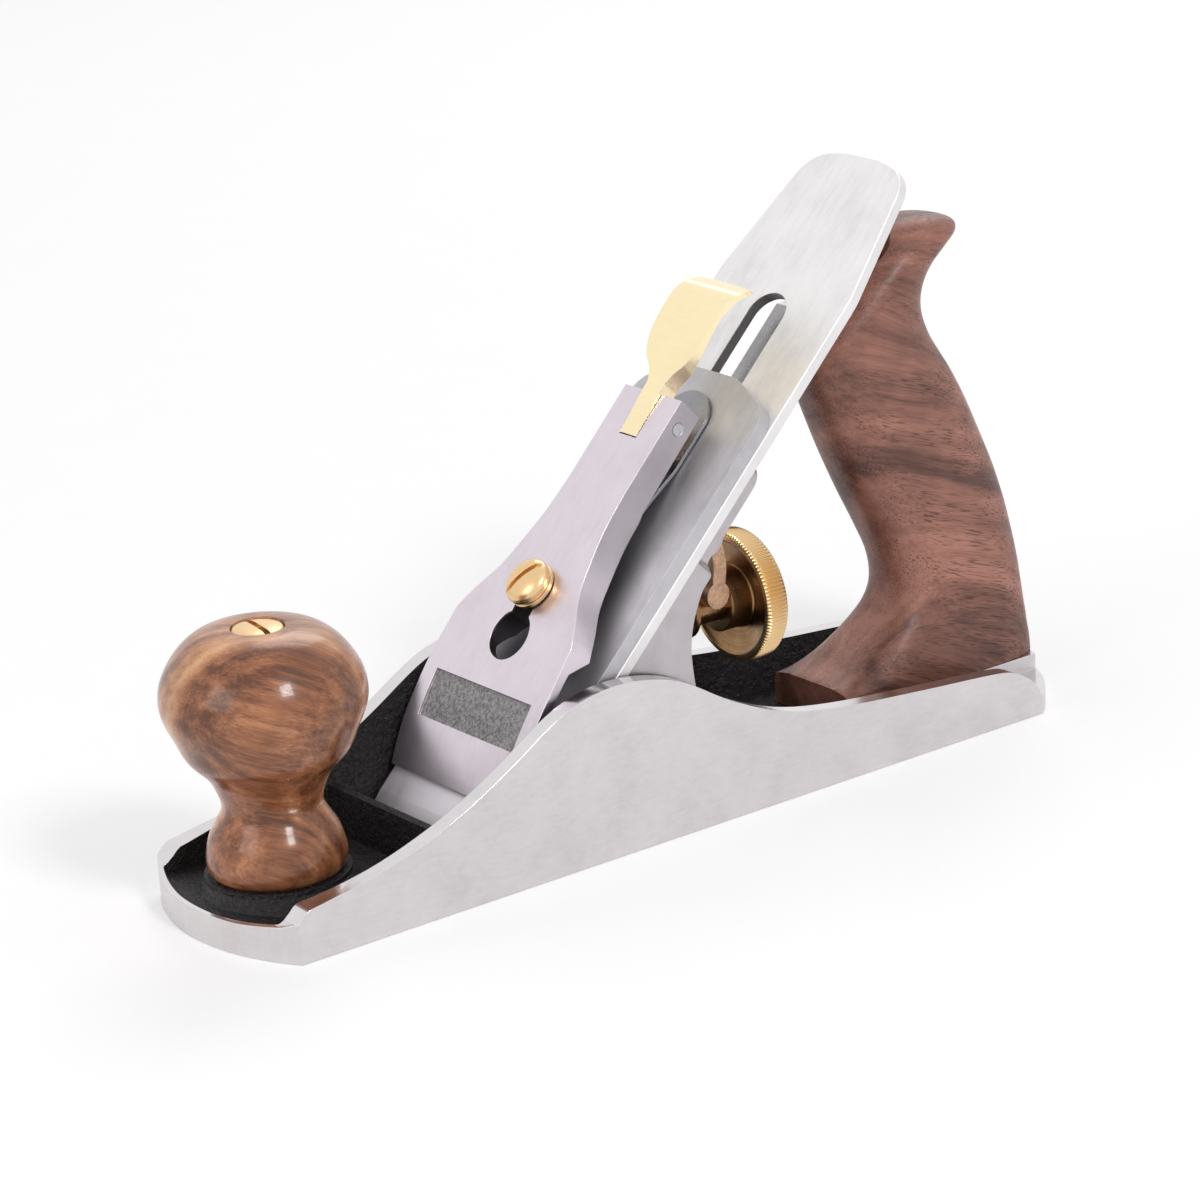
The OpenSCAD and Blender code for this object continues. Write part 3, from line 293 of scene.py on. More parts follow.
class Finish:
    """Material built node by node; a value may be a number, a colour or another node's output."""

    def __init__(self, name):
        self.material = bpy.data.materials.new(name)
        self.material.use_nodes = True
        self.tree = self.material.node_tree
        self.tree.nodes.clear()
        self.output = self.tree.nodes.new("ShaderNodeOutputMaterial")
        self.shader = self.tree.nodes.new("ShaderNodeBsdfPrincipled")
        self.tree.links.new(self.shader.outputs[0], self.output.inputs[0])
        coords = self.tree.nodes.new("ShaderNodeTexCoord")
        self.place = coords.outputs["Object"]
        self.facing = coords.outputs["Normal"]

    def feed(self, socket, value):
        """Links or sets a socket."""
        if isinstance(value, bpy.types.NodeSocket):
            self.tree.links.new(value, socket)
        elif isinstance(value, (tuple, list)) and len(value) == 3 and socket.type == "RGBA":
            socket.default_value = (*value, 1)
        else:
            socket.default_value = value

    def node(self, kind, values, **settings):
        """New shader node with its inputs and settings."""
        made = self.tree.nodes.new("ShaderNode" + kind)
        for key, value in settings.items():
            setattr(made, key, value)
        for key, value in values.items():
            self.feed(made.inputs[key], value)
        return made

    def math(self, operation, a, b=0.0):
        """Result of one operation on one or two numbers."""
        return self.node("Math", {0: a, 1: b}, operation=operation).outputs[0]

    def times(self, first, *others):
        """Product of several numbers; of several masks, the place where all hold."""
        for other in others:
            first = self.math("MULTIPLY", first, other)
        return first

    def plus(self, a, b):
        """a + b"""
        return self.math("ADD", a, b)

    def minus(self, a, b):
        """a - b"""
        return self.math("SUBTRACT", a, b)

    def size(self, value):
        """The number without its sign."""
        return self.math("ABSOLUTE", value)

    def reach(self, a, b):
        """Length of the vector (a, b)."""
        return self.math("SQRT", self.plus(self.times(a, a), self.times(b, b)))

    def top(self, first, *others):
        """Largest of several numbers; of several masks, the place where any holds."""
        for other in others:
            first = self.math("MAXIMUM", first, other)
        return first

    def step(self, value, low, high):
        """0 below low, 1 above high, smooth between."""
        return self.node("MapRange", {"Value": value, "From Min": low, "From Max": high},
                         interpolation_type="SMOOTHSTEP").outputs[0]

    def short(self, value, low, high):
        """1 below low, 0 above high, smooth between."""
        return self.minus(1.0, self.step(value, low, high))

    def spread(self, value, low, high, to_low, to_high):
        """Carries the range low..high to to_low..to_high."""
        return self.node("MapRange", {"Value": value, "From Min": low, "From Max": high,
                                      "To Min": to_low, "To Max": to_high}).outputs[0]

    def axes(self, vector):
        """The three numbers of a vector."""
        return self.node("SeparateXYZ", {0: vector}).outputs

    def blade_axes(self):
        """Distance up the iron, distance from the middle line, and lift off the iron's upper face."""
        x, y, z = self.axes(self.place)
        ahead = self.minus(x, EDGE_X)
        up_iron = self.times(self.minus(z, ahead), ROOT_HALF)
        lift = self.times(self.plus(ahead, z), ROOT_HALF)
        return up_iron, self.size(y), lift

    def below_line(self, up_iron, lift, place, base, slope):
        """How far a lift is below a line in the blade frame: base + (up_iron - place) * slope - lift."""
        line = self.plus(self.times(self.minus(up_iron, place), slope), base)
        return self.minus(line, lift)

    def stretched(self, scale, vector=None):
        """Coordinates multiplied along each axis."""
        return self.node("VectorMath", {0: vector or self.place, 1: scale}, operation="MULTIPLY").outputs[0]

    def joined(self, x, y):
        """Vector of two numbers."""
        return self.node("CombineXYZ", {0: x, 1: y}).outputs[0]

    def noise(self, vector, scale=1.0, detail=2.0, rough=0.5, colour=False):
        """Cloudy number around a half, or cloudy colour; scale is the number of clouds per unit."""
        made = self.node("TexNoise", {"Vector": vector, "Scale": scale, "Detail": detail, "Roughness": rough})
        return made.outputs["Color" if colour else "Fac"]

    def ramp(self, value, *stops):
        """Colour ramp with stops of (place, colour)."""
        made = self.node("ValToRGB", {0: value})
        elements = made.color_ramp.elements
        while len(elements) < len(stops):
            elements.new(0.5)
        for element, (place, colour) in zip(elements, stops):
            element.position = place
            element.color = (*colour, 1)
        return made.outputs[0]

    def mixed(self, kind, factor, a, b):
        """Mix node of one kind: a where the factor is 0, b where it is 1."""
        first, result = MIX_SOCKETS[kind]
        return self.node("Mix", {0: factor, first: a, first + 1: b}, data_type=kind).outputs[result]

    def blend(self, factor, a, b):
        """Colour a where the factor is 0, colour b where it is 1."""
        return self.mixed("RGBA", factor, a, b)

    def between(self, factor, a, b):
        """Number a where the factor is 0, number b where it is 1."""
        return self.mixed("FLOAT", factor, a, b)

    def turned(self, factor, a, b):
        """Direction a where the factor is 0, direction b where it is 1."""
        return self.mixed("VECTOR", factor, a, b)

    def bump(self, height, depth, strength=1.0):
        """Normals bent by a height, for a depth in mm."""
        return self.node("Bump", {"Height": height, "Distance": depth * MM, "Strength": strength}).outputs[0]

    def finish(self, **values):
        """Feeds the shader's own sockets and gives the material."""
        for key, value in values.items():
            self.feed(self.shader.inputs[key.replace("_", " ")], value)
        return self.material


def bare_metal(look, colour, rough, grain=(260, 260, 260), depth=0.006, spots=0.0, contrast=0.10):
    """Bare or machined metal: mottled colour, cloudy roughness and fine tool marks along one direction."""
    cloud = look.noise(look.place, scale=70, detail=5, rough=0.6)
    marks = look.noise(look.stretched(grain), scale=1, detail=4, rough=0.65)
    mixed = look.plus(look.times(cloud, 0.6), look.times(marks, 0.4))
    shade = look.ramp(mixed, (0.34, darker(colour, 1 - contrast)), (0.5, colour),
                      (0.66, paler(colour, 1 + contrast * 0.7)))
    if spots:
        speck = look.step(look.noise(look.place, scale=900, detail=2, rough=0.5), 0.66, 0.74)
        shade = look.blend(look.times(speck, spots), shade, darker(colour, 0.5))
    sheen = look.spread(mixed, 0.35, 0.65, rough * 1.18, rough * 0.86)
    return shade, sheen, look.bump(marks, depth)


def metal_finish(name, colour, rough, **marks):
    """Piece of one bare metal."""
    look = Finish(name)
    shade, sheen, normal = bare_metal(look, colour, rough, **marks)
    return look.finish(Base_Color=shade, Roughness=sheen, Metallic=1.0, Normal=normal)


def blade_metal(colour):
    """Ground steel, with painted shade on the walls of its slot."""
    look = Finish("blade_finish")
    shade, sheen, normal = bare_metal(look, colour, 0.50, grain=(110, 600, 110), depth=0.004)
    up_iron, width, _ = look.blade_axes()
    past_centre = look.top(look.minus(up_iron, SLOT_TOP_CENTRE), 0.0)
    wall = look.times(look.short(look.reach(past_centre, width), *SLOT_SIDE), look.step(up_iron, *SLOT_START))
    # Painted shade: the slot's walls are darkened in the colour
    shade = look.blend(look.times(wall, 0.85), shade, SLOT_WALL_SHADE)
    return look.finish(Base_Color=shade, Roughness=sheen, Metallic=1.0, Normal=normal)


def cap_iron_metal(colour, front_highlight):
    """Satin steel, with painted shade where the lever cap covers it and a painted highlight in front of the
    cap.
    """
    look = Finish("cap_iron_finish")
    shade, sheen, normal = bare_metal(look, colour, 0.55, grain=(110, 600, 110), depth=0.004)
    up_iron, width, _ = look.blade_axes()
    # Painted shade on the cap iron where the lever cap covers it
    under = look.times(look.step(up_iron, *CAP_SHADE_START), look.short(up_iron, *CAP_SHADE_END),
                       look.short(width, *CAP_SHADE_SIDE))
    shade = look.blend(look.times(under, 0.75), shade, darker(colour, 0.2))
    # Painted highlight: the cap iron's front is paler in the colour
    shade = look.blend(look.times(look.short(up_iron, *CAP_IRON_FRONT), 0.9), shade, front_highlight)
    return look.finish(Base_Color=shade, Roughness=sheen, Metallic=1.0, Normal=normal)


def cap_metal(colour, panel):
    """Satin lever cap with painted shade on its flanks and in its keyhole; the floor of its sunken panel is
    rough.
    """
    look = Finish("lever_cap_finish")
    shade, sheen, normal = bare_metal(look, colour, 0.33, grain=(150, 800, 150), depth=0.005, contrast=0.07)
    up_iron, width, lift = look.blade_axes()
    inside = look.times(look.step(up_iron, *PANEL_LOW), look.short(up_iron, *PANEL_TOP),
                        look.short(width, *PANEL_SIDE),
                        look.step(look.below_line(up_iron, lift, *PANEL_FLOOR), *PANEL_DEPTH))
    keyhole_shade = look.times(look.step(up_iron, *KEYHOLE_LOW), look.short(up_iron, *KEYHOLE_TOP),
                        look.short(width, *KEYHOLE_SIDE),
                        look.step(look.below_line(up_iron, lift, *CAP_FACE), *KEYHOLE_DEPTH))
    # Painted shade: the keyhole is darkened in the colour
    shade = look.blend(look.times(keyhole_shade, 0.7), shade, KEYHOLE_SHADE)
    # Painted shade: flanks that face sideways get a darker colour
    sideways = look.step(look.size(look.axes(look.facing)[1]), *FACING_SIDE)
    flank = look.times(sideways, look.step(up_iron, *FLANK_START), 0.6)
    shade = look.blend(flank, shade, FLANK_SHADE)
    sand = look.noise(look.place, scale=1000, detail=5, rough=0.68)
    dull = look.ramp(sand, (0.38, darker(panel, 0.5)), (0.58, panel))
    return look.finish(Base_Color=look.blend(inside, shade, dull), Metallic=1.0,
                       Roughness=look.between(inside, sheen, 0.46),
                       Normal=look.turned(inside, normal, look.bump(sand, depth=0.8)))


def black_paint(look, colour):
    """Semi-gloss black enamel over rough sand-cast iron, with painted glints on the grains that stand out."""
    sand = look.noise(look.place, scale=1000, detail=4, rough=0.7)
    lumps = look.noise(look.place, scale=300, detail=3, rough=0.55)
    # Painted highlight: the grains that stand out get a paler colour as glints
    shade = look.blend(look.step(sand, 0.46, 0.66), colour, paler(colour, 2.5, 0.008))
    sheen = look.spread(sand, 0.35, 0.65, 0.42, 0.2)
    height = look.plus(look.times(sand, 0.7), look.times(lumps, 0.8))
    return shade, sheen, look.bump(height, depth=1.1)


def arc_rim(look, x, y, centre, radius, way):
    """1 outside a circle round a point of the middle line, on its toe side (1) or its heel side (-1)."""
    along = look.times(look.minus(x, centre), way)
    outside = look.step(look.reach(along, y), radius - RIM_BLUR, radius + RIM_BLUR)
    return look.times(outside, look.step(along, *ARC_START))


def casting_finish(ground, enamel):
    """Ground sides, polished wall tops and sole, black enamel inside; each by its place in the frame. Bare
    faces that look up are smoother and carry a painted highlight.
    """
    look = Finish("casting_finish")
    x, y, z = look.axes(look.place)
    width = look.size(y)
    up = look.step(look.axes(look.facing)[2], *FACING_UP)
    side = look.step(width, *SIDE_FACE)
    toe = arc_rim(look, x, y, TOE_CENTRE_X, TOE_RIM_R, 1)
    gusset = look.times(look.step(width, *GUSSET_SIDE), look.step(x, *GUSSET_START), up,
                        look.step(z, *GUSSET_HEIGHT))
    heel = arc_rim(look, x, y, HEEL_CENTRE_X, HEEL_RIM_R, -1)
    tail = look.short(x, *TAIL_END)
    pad = look.times(look.step(width, *PAD_SIDE), look.short(x, *PAD_FRONT), look.step(z, *PAD_TOP))
    sole = look.short(z, *SOLE_FACE)
    mask = look.top(side, toe, gusset, sole, heel, tail, pad)
    shade, sheen, normal = bare_metal(look, ground, 0.36, grain=(240, 900, 900), depth=0.008, spots=0.12,
                                      contrast=0.09)
    # Painted highlight: bare faces that look up get a paler colour
    highlit_top = look.blend(up, shade, look.blend(0.4, shade, TOP_HIGHLIGHT))
    smooth_sheen = look.between(up, sheen, look.times(sheen, 0.42))
    paint, gloss, rough_normal = black_paint(look, enamel)
    return look.finish(Base_Color=look.blend(mask, paint, highlit_top), Metallic=mask,
                       Roughness=look.between(mask, gloss, smooth_sheen),
                       Normal=look.turned(mask, rough_normal, normal), Specular_IOR_Level=0.35)


def wood_finish(name, tones, turn, shift, gloss, bands, warp, swirl, pores, curl, coat, coat_rough, specular):
    """Walnut: broad bands bent by a slow warp, fine streaks and fibres, short dark pores and a faint curl.

    After the turn the grain runs along x; bands is the number of broad bands per metre across it, warp
    is how far they wander in metres and swirl how often, pores and curl are strengths.
    """
    look = Finish(name)
    turn = tuple(math.radians(angle) for angle in turn)
    grain = look.node("Mapping", {"Vector": look.place, "Location": shift, "Rotation": turn}).outputs[0]
    slow = look.noise(look.stretched((0.45, 1, 1), grain), swirl, detail=2, rough=0.5, colour=True)
    push = look.node("VectorMath", {0: slow, 1: (0.5, 0.5, 0.5)}, operation="SUBTRACT").outputs[0]
    push = look.node("VectorMath", {0: push, "Scale": warp}, operation="SCALE").outputs[0]
    bent = look.node("VectorMath", {0: grain, 1: push}, operation="ADD").outputs[0]
    along, across, rise = look.axes(bent)
    rings = look.joined(look.times(look.reach(across, rise), bands), look.times(along, 5))
    rings = look.noise(rings, scale=1, detail=3, rough=0.55)
    streak = look.noise(look.stretched((10, 320, 320), bent), scale=1, detail=4, rough=0.62)
    fibre = look.noise(look.stretched((70, 1900, 1900), bent), scale=1, detail=2, rough=0.6)
    tone = look.plus(look.plus(look.times(rings, 0.58), look.times(streak, 0.27)), look.times(fibre, 0.15))
    shade = look.ramp(tone, *zip((0.40, 0.47, 0.54, 0.61), tones))
    ripple = look.noise(look.stretched((130, 22, 22), bent), scale=1, detail=2, rough=0.5)
    ripple = look.spread(ripple, 0.3, 0.7, 1 - curl, 1 + curl)
    shade = look.node("VectorMath", {0: shade, "Scale": ripple}, operation="SCALE").outputs[0]
    speck = look.noise(look.stretched((170, 3600, 3600), grain), scale=1, detail=1, rough=0.4)
    patch = look.noise(look.stretched((22, 150, 150), grain), scale=1, detail=2, rough=0.5)
    pore = look.times(look.step(speck, 0.54, 0.66), look.step(patch, 0.34, 0.62), pores)
    shade = look.blend(look.times(pore, 0.6), shade, darker(tones[0], 0.35))
    sheen = look.plus(look.spread(fibre, 0.3, 0.7, gloss + 0.05, gloss - 0.04), look.times(pore, 0.2))
    height = look.minus(look.times(fibre, 0.2), pore)
    return look.finish(Base_Color=shade, Roughness=sheen, Normal=look.bump(height, depth=0.025, strength=0.6),
                       Coat_Weight=coat, Coat_Roughness=coat_rough, Specular_IOR_Level=specular)


def knob_wood(tones):
    """Glossy walnut with a strong swirl."""
    return wood_finish("knob_wood_finish", tones, turn=(20, 8, 35), shift=(0.01, 0.045, -0.025), gloss=0.24,
                       bands=120, warp=0.030, swirl=15, pores=0.5, curl=0.20, coat=0.35, coat_rough=0.09,
                       specular=0.3)


def tote_wood(tones):
    """Satin walnut, its grain leaning with the tote."""
    return wood_finish("tote_wood_finish", tones, turn=(0, 19, 0), shift=(0, -0.035, -0.05), gloss=0.40,
                       bands=95, warp=0.040, swirl=13, pores=1.1, curl=0.12, coat=0.12, coat_rough=0.3,
                       specular=0.35)


def turned_brass(colour, rim_colour):
    """Lathe-turned brass with fine rings round the wheel's own axis and a brighter rim.

    The rings are a noise that hangs on the radius and on x alone, so it is the same all the way round.
    """
    look = Finish("turned_brass_finish")
    x, y, z = look.axes(look.place)
    radius = look.reach(y, look.minus(z, WHEEL_Z))
    rings = look.noise(look.joined(radius, x), scale=2200, detail=3, rough=0.6)
    cloud = look.noise(look.place, scale=160, detail=3, rough=0.6)
    shade = look.ramp(look.plus(look.times(rings, 0.6), look.times(cloud, 0.4)), (0.35, darker(colour, 0.62)),
                      (0.6, colour))
    shade = look.blend(look.step(radius, *WHEEL_RIM_R), shade, rim_colour)
    return look.finish(Base_Color=shade, Metallic=1.0, Roughness=look.spread(cloud, 0.3, 0.7, 0.36, 0.24),
                       Normal=look.bump(rings, depth=0.02))


def cast_bronze(colour):
    """Sand-cast bronze, dull in its hollows."""
    look = Finish("cast_bronze_finish")
    sand = look.noise(look.place, scale=1300, detail=4, rough=0.6)
    cloud = look.noise(look.place, scale=210, detail=3, rough=0.6)
    shade = look.ramp(look.plus(look.times(sand, 0.5), look.times(cloud, 0.5)), (0.34, darker(colour, 0.5)),
                      (0.6, colour))
    return look.finish(Base_Color=shade, Metallic=1.0, Roughness=look.spread(sand, 0.3, 0.7, 0.34, 0.5),
                       Normal=look.bump(sand, depth=0.08, strength=0.7))


FINISHES = {}


def finish_of(name, looks):
    """Finish by its name, made the first time it is asked for."""
    if name not in FINISHES:
        makers = {
            "casting": lambda: casting_finish(looks.ground_iron[:], looks.enamel[:]),
            "frog_metal": lambda: metal_finish("frog_finish", looks.frog[:], 0.38, grain=(250, 250, 250),
                                               depth=0.008, spots=0.12),
            "blade_steel": lambda: blade_metal(looks.blade[:]),
            "cap_steel": lambda: cap_iron_metal(looks.cap_iron[:], looks.cap_iron_front[:]),
            "lever_cap_metal": lambda: cap_metal(looks.cap[:], looks.panel[:]),
            "spring_steel": lambda: metal_finish("spring_finish", looks.spring[:], 0.28),
            "steel_fasteners": lambda: metal_finish("fastener_finish", looks.fasteners[:], 0.28,
                                                    grain=(500, 500, 500)),
            "polished_brass": lambda: metal_finish("polished_brass_finish", looks.brass[:], 0.16,
                                                   grain=(900, 120, 900), depth=0.001, contrast=0.03),
            "satin_brass": lambda: metal_finish("satin_brass_finish", looks.screw_brass[:], 0.27,
                                                grain=(900, 900, 900), depth=0.004, contrast=0.08),
            "turned_brass": lambda: turned_brass(looks.wheel_brass[:], looks.rim_brass[:]),
            "cast_bronze": lambda: cast_bronze(looks.bronze[:]),
            "knob_wood": lambda: knob_wood((looks.wood_dark[:], looks.wood_mid[:], looks.wood_pale[:],
                                            looks.wood_light[:])),
            "tote_wood": lambda: tote_wood((looks.tote_dark[:], looks.tote_mid[:], looks.tote_pale[:],
                                            looks.tote_light[:])),
        }
        FINISHES[name] = makers[name]()
    return FINISHES[name]


# Shapes of the grips and the wheel, in millimetres

KNOB_X = 101.5
KNOB_FOOT_Z = 11.55
# Radius and height, from the foot to the rim of the nut's hole
KNOB_OUTLINE = [
    [15.6, 11.5], [16.7, 12.9], [17, 15.7], [15.9, 20.7], [13.9, 24.5], [12.5, 27], [12.2, 29.1],
    [13, 32.1], [15.1, 36.5], [19.6, 41.5], [22, 46.5], [24.2, 51.5], [24.9, 55.3], [24.3, 59.7],
    [22.3, 63.9], [19.3, 67.8], [15.5, 70.7], [10.9, 72.2], [6.85, 72.5]]
KNOB_HOLE = [[6.6, 72.4], [6.5, 72.2], [6.5, 65.6], [0, 65.6]]
# Height, back, front, swell of the width (1 at the foot, below 0 at the top) and squareness of the section
TOTE_SECTIONS = [
    [5.6, -131, -48, 1, 6], [10, -131.4, -48, 1, 6], [13.2, -131.5, -52, 1, 5.5],
    [14.6, -131.6, -62, 0.96, 5], [17, -131.7, -70, 0.86, 4.4], [20, -131.8, -76, 0.72, 4],
    [24, -131.8, -82, 0.52, 3.6], [29, -131.7, -87.3, 0.34, 3.2], [35, -131.4, -89.4, 0.18, 2.9],
    [43, -130.2, -88, 0.06, 2.7], [52, -128, -83.9, 0, 2.7], [62, -124.6, -78.8, 0, 2.7],
    [73, -119.9, -73.7, 0, 2.7], [82, -115.8, -70, 0, 2.7], [90, -111.5, -67, 0, 2.7],
    [96, -107.6, -65.4, 0, 2.7], [101, -104.4, -66.4, 0, 2.7], [107, -101.8, -70.2, 0, 2.7],
    [112, -101.4, -74.6, 0, 2.6], [116.5, -102.8, -79, 0, 2.5], [120.5, -105.9, -83, 0, 2.4],
    [124, -110.5, -86.8, -0.05, 2.4], [126.6, -114.6, -90, -0.2, 2.3], [128.8, -114.8, -93, -0.45, 2.3],
    [130.4, -111, -96, -0.8, 2.3], [131.3, -105, -99, -1.3, 2.3]]
TOTE_HALF_W = 12
TOTE_FOOT_SWELL = 3
TOTE_TOP_SWELL = 5.45
TOTE_FRONT_X = -64
TOTE_BOLT_X = -114
TOTE_LEAN = 11.4
# Radius and distance up the bolt
NUT_HOLE = [[0, 114], [6.5, 114], [6.5, 150], [0, 150]]
HEEL_STEP = ((-140, -30, 0), (-105.7, 30, 9.6))
TOTE_STEPS = 7
TOTE_SIDES = 112
TOTE_CREASE = 40
KNOB_STEPS = 8
KNOB_COLUMNS = 144
NUT_COLUMNS = 64
WHEEL_RIDGES = 110
RIDGE_POINTS = 8
RIDGE_DEPTH = 0.5
RIDGE_START_R = 16.3
RIDGE_RUN_IN = 0.5
RIDGE_ROUNDING = 0.7
# Radius and x, from the front of the bore round the groove, the face and the rim to the back
WHEEL_OUTLINE = [
    [3.26, -22.6], [6.6, -22.6], [7.0, -22.9], [7.2, -23.4], [7.2, -24], [4.9, -24], [4.9, -33.6],
    [7.6, -33.6], [8, -34], [8, -36.5], [8.05, -39.9], [8.4, -40.3], [9.4, -40.1], [14.1, -38.95],
    [14.7, -38.6], [15.1, -38.15], [15.9, -38.12], [16.25, -38.25], [16.6, -38.55], [16.95, -38.9],
    [17.1, -39.3], [17.1, -41], [17.1, -43.9], [16.7, -44.4], [16.2, -44.65], [15.8, -44.8], [13, -44.8],
    [3.26, -44.8]]


def knob_mesh():
    """Outline of (radius, height) on a smooth curve, with a nut hole in the top, carried round the bolt."""
    profile = np.vstack([[[0, KNOB_FOOT_Z]], smooth_points(KNOB_OUTLINE, KNOB_STEPS), KNOB_HOLE])
    return turned_mesh("knob", profile, KNOB_COLUMNS, lambda x, y, z: (x + KNOB_X, y, z))


def tote_rings(steps, sides):
    """Level rings: |x/long|^n + |y/wide|^n = 1, with centre, size and n on smooth curves up the height."""
    height, back, front, swell, square = smooth_points(TOTE_SECTIONS, steps).T
    mid = (back + front) / 2
    long = (front - back) / 2
    wide = TOTE_HALF_W + np.where(swell < 0, swell * TOTE_TOP_SWELL, swell * TOTE_FOOT_SWELL)
    angle = (np.arange(sides) + 0.5) * 2 * np.pi / sides
    power = (2 / square)[:, None]
    cos, sin = np.cos(angle)[None, :], np.sin(angle)[None, :]
    x = mid[:, None] + long[:, None] * np.sign(cos) * np.abs(cos) ** power
    y = wide[:, None] * np.sign(sin) * np.abs(sin) ** power
    z = np.repeat(height[:, None], sides, 1)
    return np.stack([np.minimum(x, TOTE_FRONT_X), y, z], -1)


def cut_with(piece, cutter):
    """Takes the cutter's solid out of the piece's mesh and removes the cutter."""
    cut = piece.modifiers.new("cut", "BOOLEAN")
    cut.operation = "DIFFERENCE"
    cut.solver = "EXACT"
    cut.object = cutter
    graph = bpy.context.evaluated_depsgraph_get()
    mesh = bpy.data.meshes.new_from_object(piece.evaluated_get(graph))
    piece.modifiers.clear()
    piece.data = mesh
    bpy.data.objects.remove(cutter)


def on_bolt(x, y, z):
    """Place of a point that lies z up the tote's leaning bolt and x and y beside it."""
    lean = math.radians(TOTE_LEAN)
    return (TOTE_BOLT_X + x * math.cos(lean) + z * math.sin(lean), y, z * math.cos(lean) - x * math.sin(lean))


def tote_piece():
    """Skin over the level rings, less a hole for the nut and a step over the casting's heel."""
    skin = ringed_mesh("tote", tote_rings(TOTE_STEPS, TOTE_SIDES))
    piece = place_mesh("tote_shaped", skin, TOTE_CREASE)
    cut_with(piece, place_mesh("nut_hole", turned_mesh("nut_hole", NUT_HOLE, NUT_COLUMNS, on_bolt)))
    cut_with(piece, place_mesh("heel_step", box_mesh("heel_step", *HEEL_STEP)))
    smooth_faces(piece.data, TOTE_CREASE)
    return piece


def wheel_mesh():
    """Profile of (radius, x) carried round the stud; on the rim the radius follows a rounded ridge wave."""
    profile = np.asarray(WHEEL_OUTLINE, float)
    count = WHEEL_RIDGES * RIDGE_POINTS
    angle = np.arange(count) * 2 * np.pi / count
    wave = 0.5 - 0.5 * np.cos(angle * WHEEL_RIDGES)
    cut = RIDGE_DEPTH * np.clip((profile[:, 0] - RIDGE_START_R) / RIDGE_RUN_IN, 0, 1)
    radius = profile[:, :1] - cut[:, None] * wave[None, :] ** RIDGE_ROUNDING
    points = np.stack([np.repeat(profile[:, 1:2], count, 1), radius * np.cos(angle),
                       WHEEL_Z / MM + radius * np.sin(angle)], -1)
    loop = np.concatenate([points, points[:1]])
    return mesh_from("depth_wheel", loop.reshape(-1, 3), net_faces(len(loop), count, True))


# Stage: angles of the camera in degrees, its lengths and the floor's in millimetres

CAMERA_TURN = 143.83
CAMERA_RISE = 18.71
CAMERA_ROLL = -3.54
CAMERA_SHIFT = (4.48, -50.39)
CAMERA_DISTANCE = 1161.95
CAMERA_LENS = 138.46
CAMERA_SENSOR = 36
FLOOR_HALF = 4000
FLOOR_Z = -0.1
# Name, place in metres, size in metres
LAMPS = (("key", (0.1, 1.3, 1.15), 0.34), ("fill", (1.5, 0.1, 0.8), 0.8), ("back", (-0.9, -0.8, 1.2), 0.9))
LAMP_AIM = (0, 0, 0.05)


def camera_matrix():
    """The camera looks back along the view line, turned about it by the roll and shifted in its own plane."""
    a, e, c = (math.radians(v) for v in (CAMERA_TURN, CAMERA_RISE, CAMERA_ROLL))
    back = Vector((math.sin(a) * math.cos(e), -math.cos(a) * math.cos(e), math.sin(e)))
    right = Vector((math.cos(a), math.sin(a), 0))
    up = back.cross(right)
    right, up = math.cos(c) * right + math.sin(c) * up, -math.sin(c) * right + math.cos(c) * up
    place = (CAMERA_DISTANCE * back - CAMERA_SHIFT[0] * right - CAMERA_SHIFT[1] * up) * MM
    return Matrix.Translation(place) @ Matrix((right, up, back)).transposed().to_4x4()


def seen_rays(tree):
    """1 for rays that come from the camera, off a gloss or through glass."""
    rays = tree.nodes.new("ShaderNodeLightPath")
    seen = rays.outputs["Is Camera Ray"]
    for kind in ("Is Glossy Ray", "Is Transmission Ray"):
        either = tree.nodes.new("ShaderNodeMath")
        either.operation = "MAXIMUM"
        tree.links.new(seen, either.inputs[0])
        tree.links.new(rays.outputs[kind], either.inputs[1])
        seen = either.outputs[0]
    return seen


def build_camera():
    """Camera at the photograph's place."""
    data = bpy.data.cameras.new("camera")
    data.sensor_width = CAMERA_SENSOR
    data.lens = CAMERA_LENS
    data.clip_start = 0.05
    data.clip_end = 50
    camera = bpy.data.objects.new("camera", data)
    camera.matrix_world = camera_matrix()
    bpy.context.scene.collection.objects.link(camera)
    bpy.context.scene.camera = camera


def build_floor(looks):
    """Matte pale floor that takes shadows and adds a little white for the camera."""
    half = FLOOR_HALF
    corners = [[-half, -half, FLOOR_Z], [half, -half, FLOOR_Z], [half, half, FLOOR_Z], [-half, half, FLOOR_Z]]
    floor = place_mesh("floor", mesh_from("floor", corners, [[0, 1, 2, 3]]))
    white = Finish("floor_finish")
    pale = tuple(looks.floor_colour)
    grain = white.noise(white.place, scale=40, detail=2, rough=0.5)
    matte = white.node("BsdfDiffuse", {"Color": white.blend(grain, pale, paler(pale, 1.015))})
    strength = white.times(seen_rays(white.tree), looks.floor_lift)
    glow = white.node("Emission", {"Color": (1, 1, 1), "Strength": strength})
    both = white.node("AddShader", {0: matte.outputs[0], 1: glow.outputs[0]})
    white.tree.links.new(both.outputs[0], white.output.inputs[0])
    white.tree.nodes.remove(white.shader)
    floor.data.materials.append(white.material)


def build_world(looks):
    """White background, dimmer as a light on the object."""
    world = bpy.data.worlds.new("studio")
    bpy.context.scene.world = world
    world.use_nodes = True
    tree = world.node_tree
    tree.nodes.clear()
    output = tree.nodes.new("ShaderNodeOutputWorld")
    sky = tree.nodes.new("ShaderNodeBackground")
    level = tree.nodes.new("ShaderNodeMapRange")
    tree.links.new(seen_rays(tree), level.inputs["Value"])
    level.inputs["To Min"].default_value = looks.sky_level
    level.inputs["To Max"].default_value = 1.0
    sky.inputs["Color"].default_value = (1, 1, 1, 1)
    tree.links.new(level.outputs[0], sky.inputs["Strength"])
    tree.links.new(sky.outputs[0], output.inputs[0])


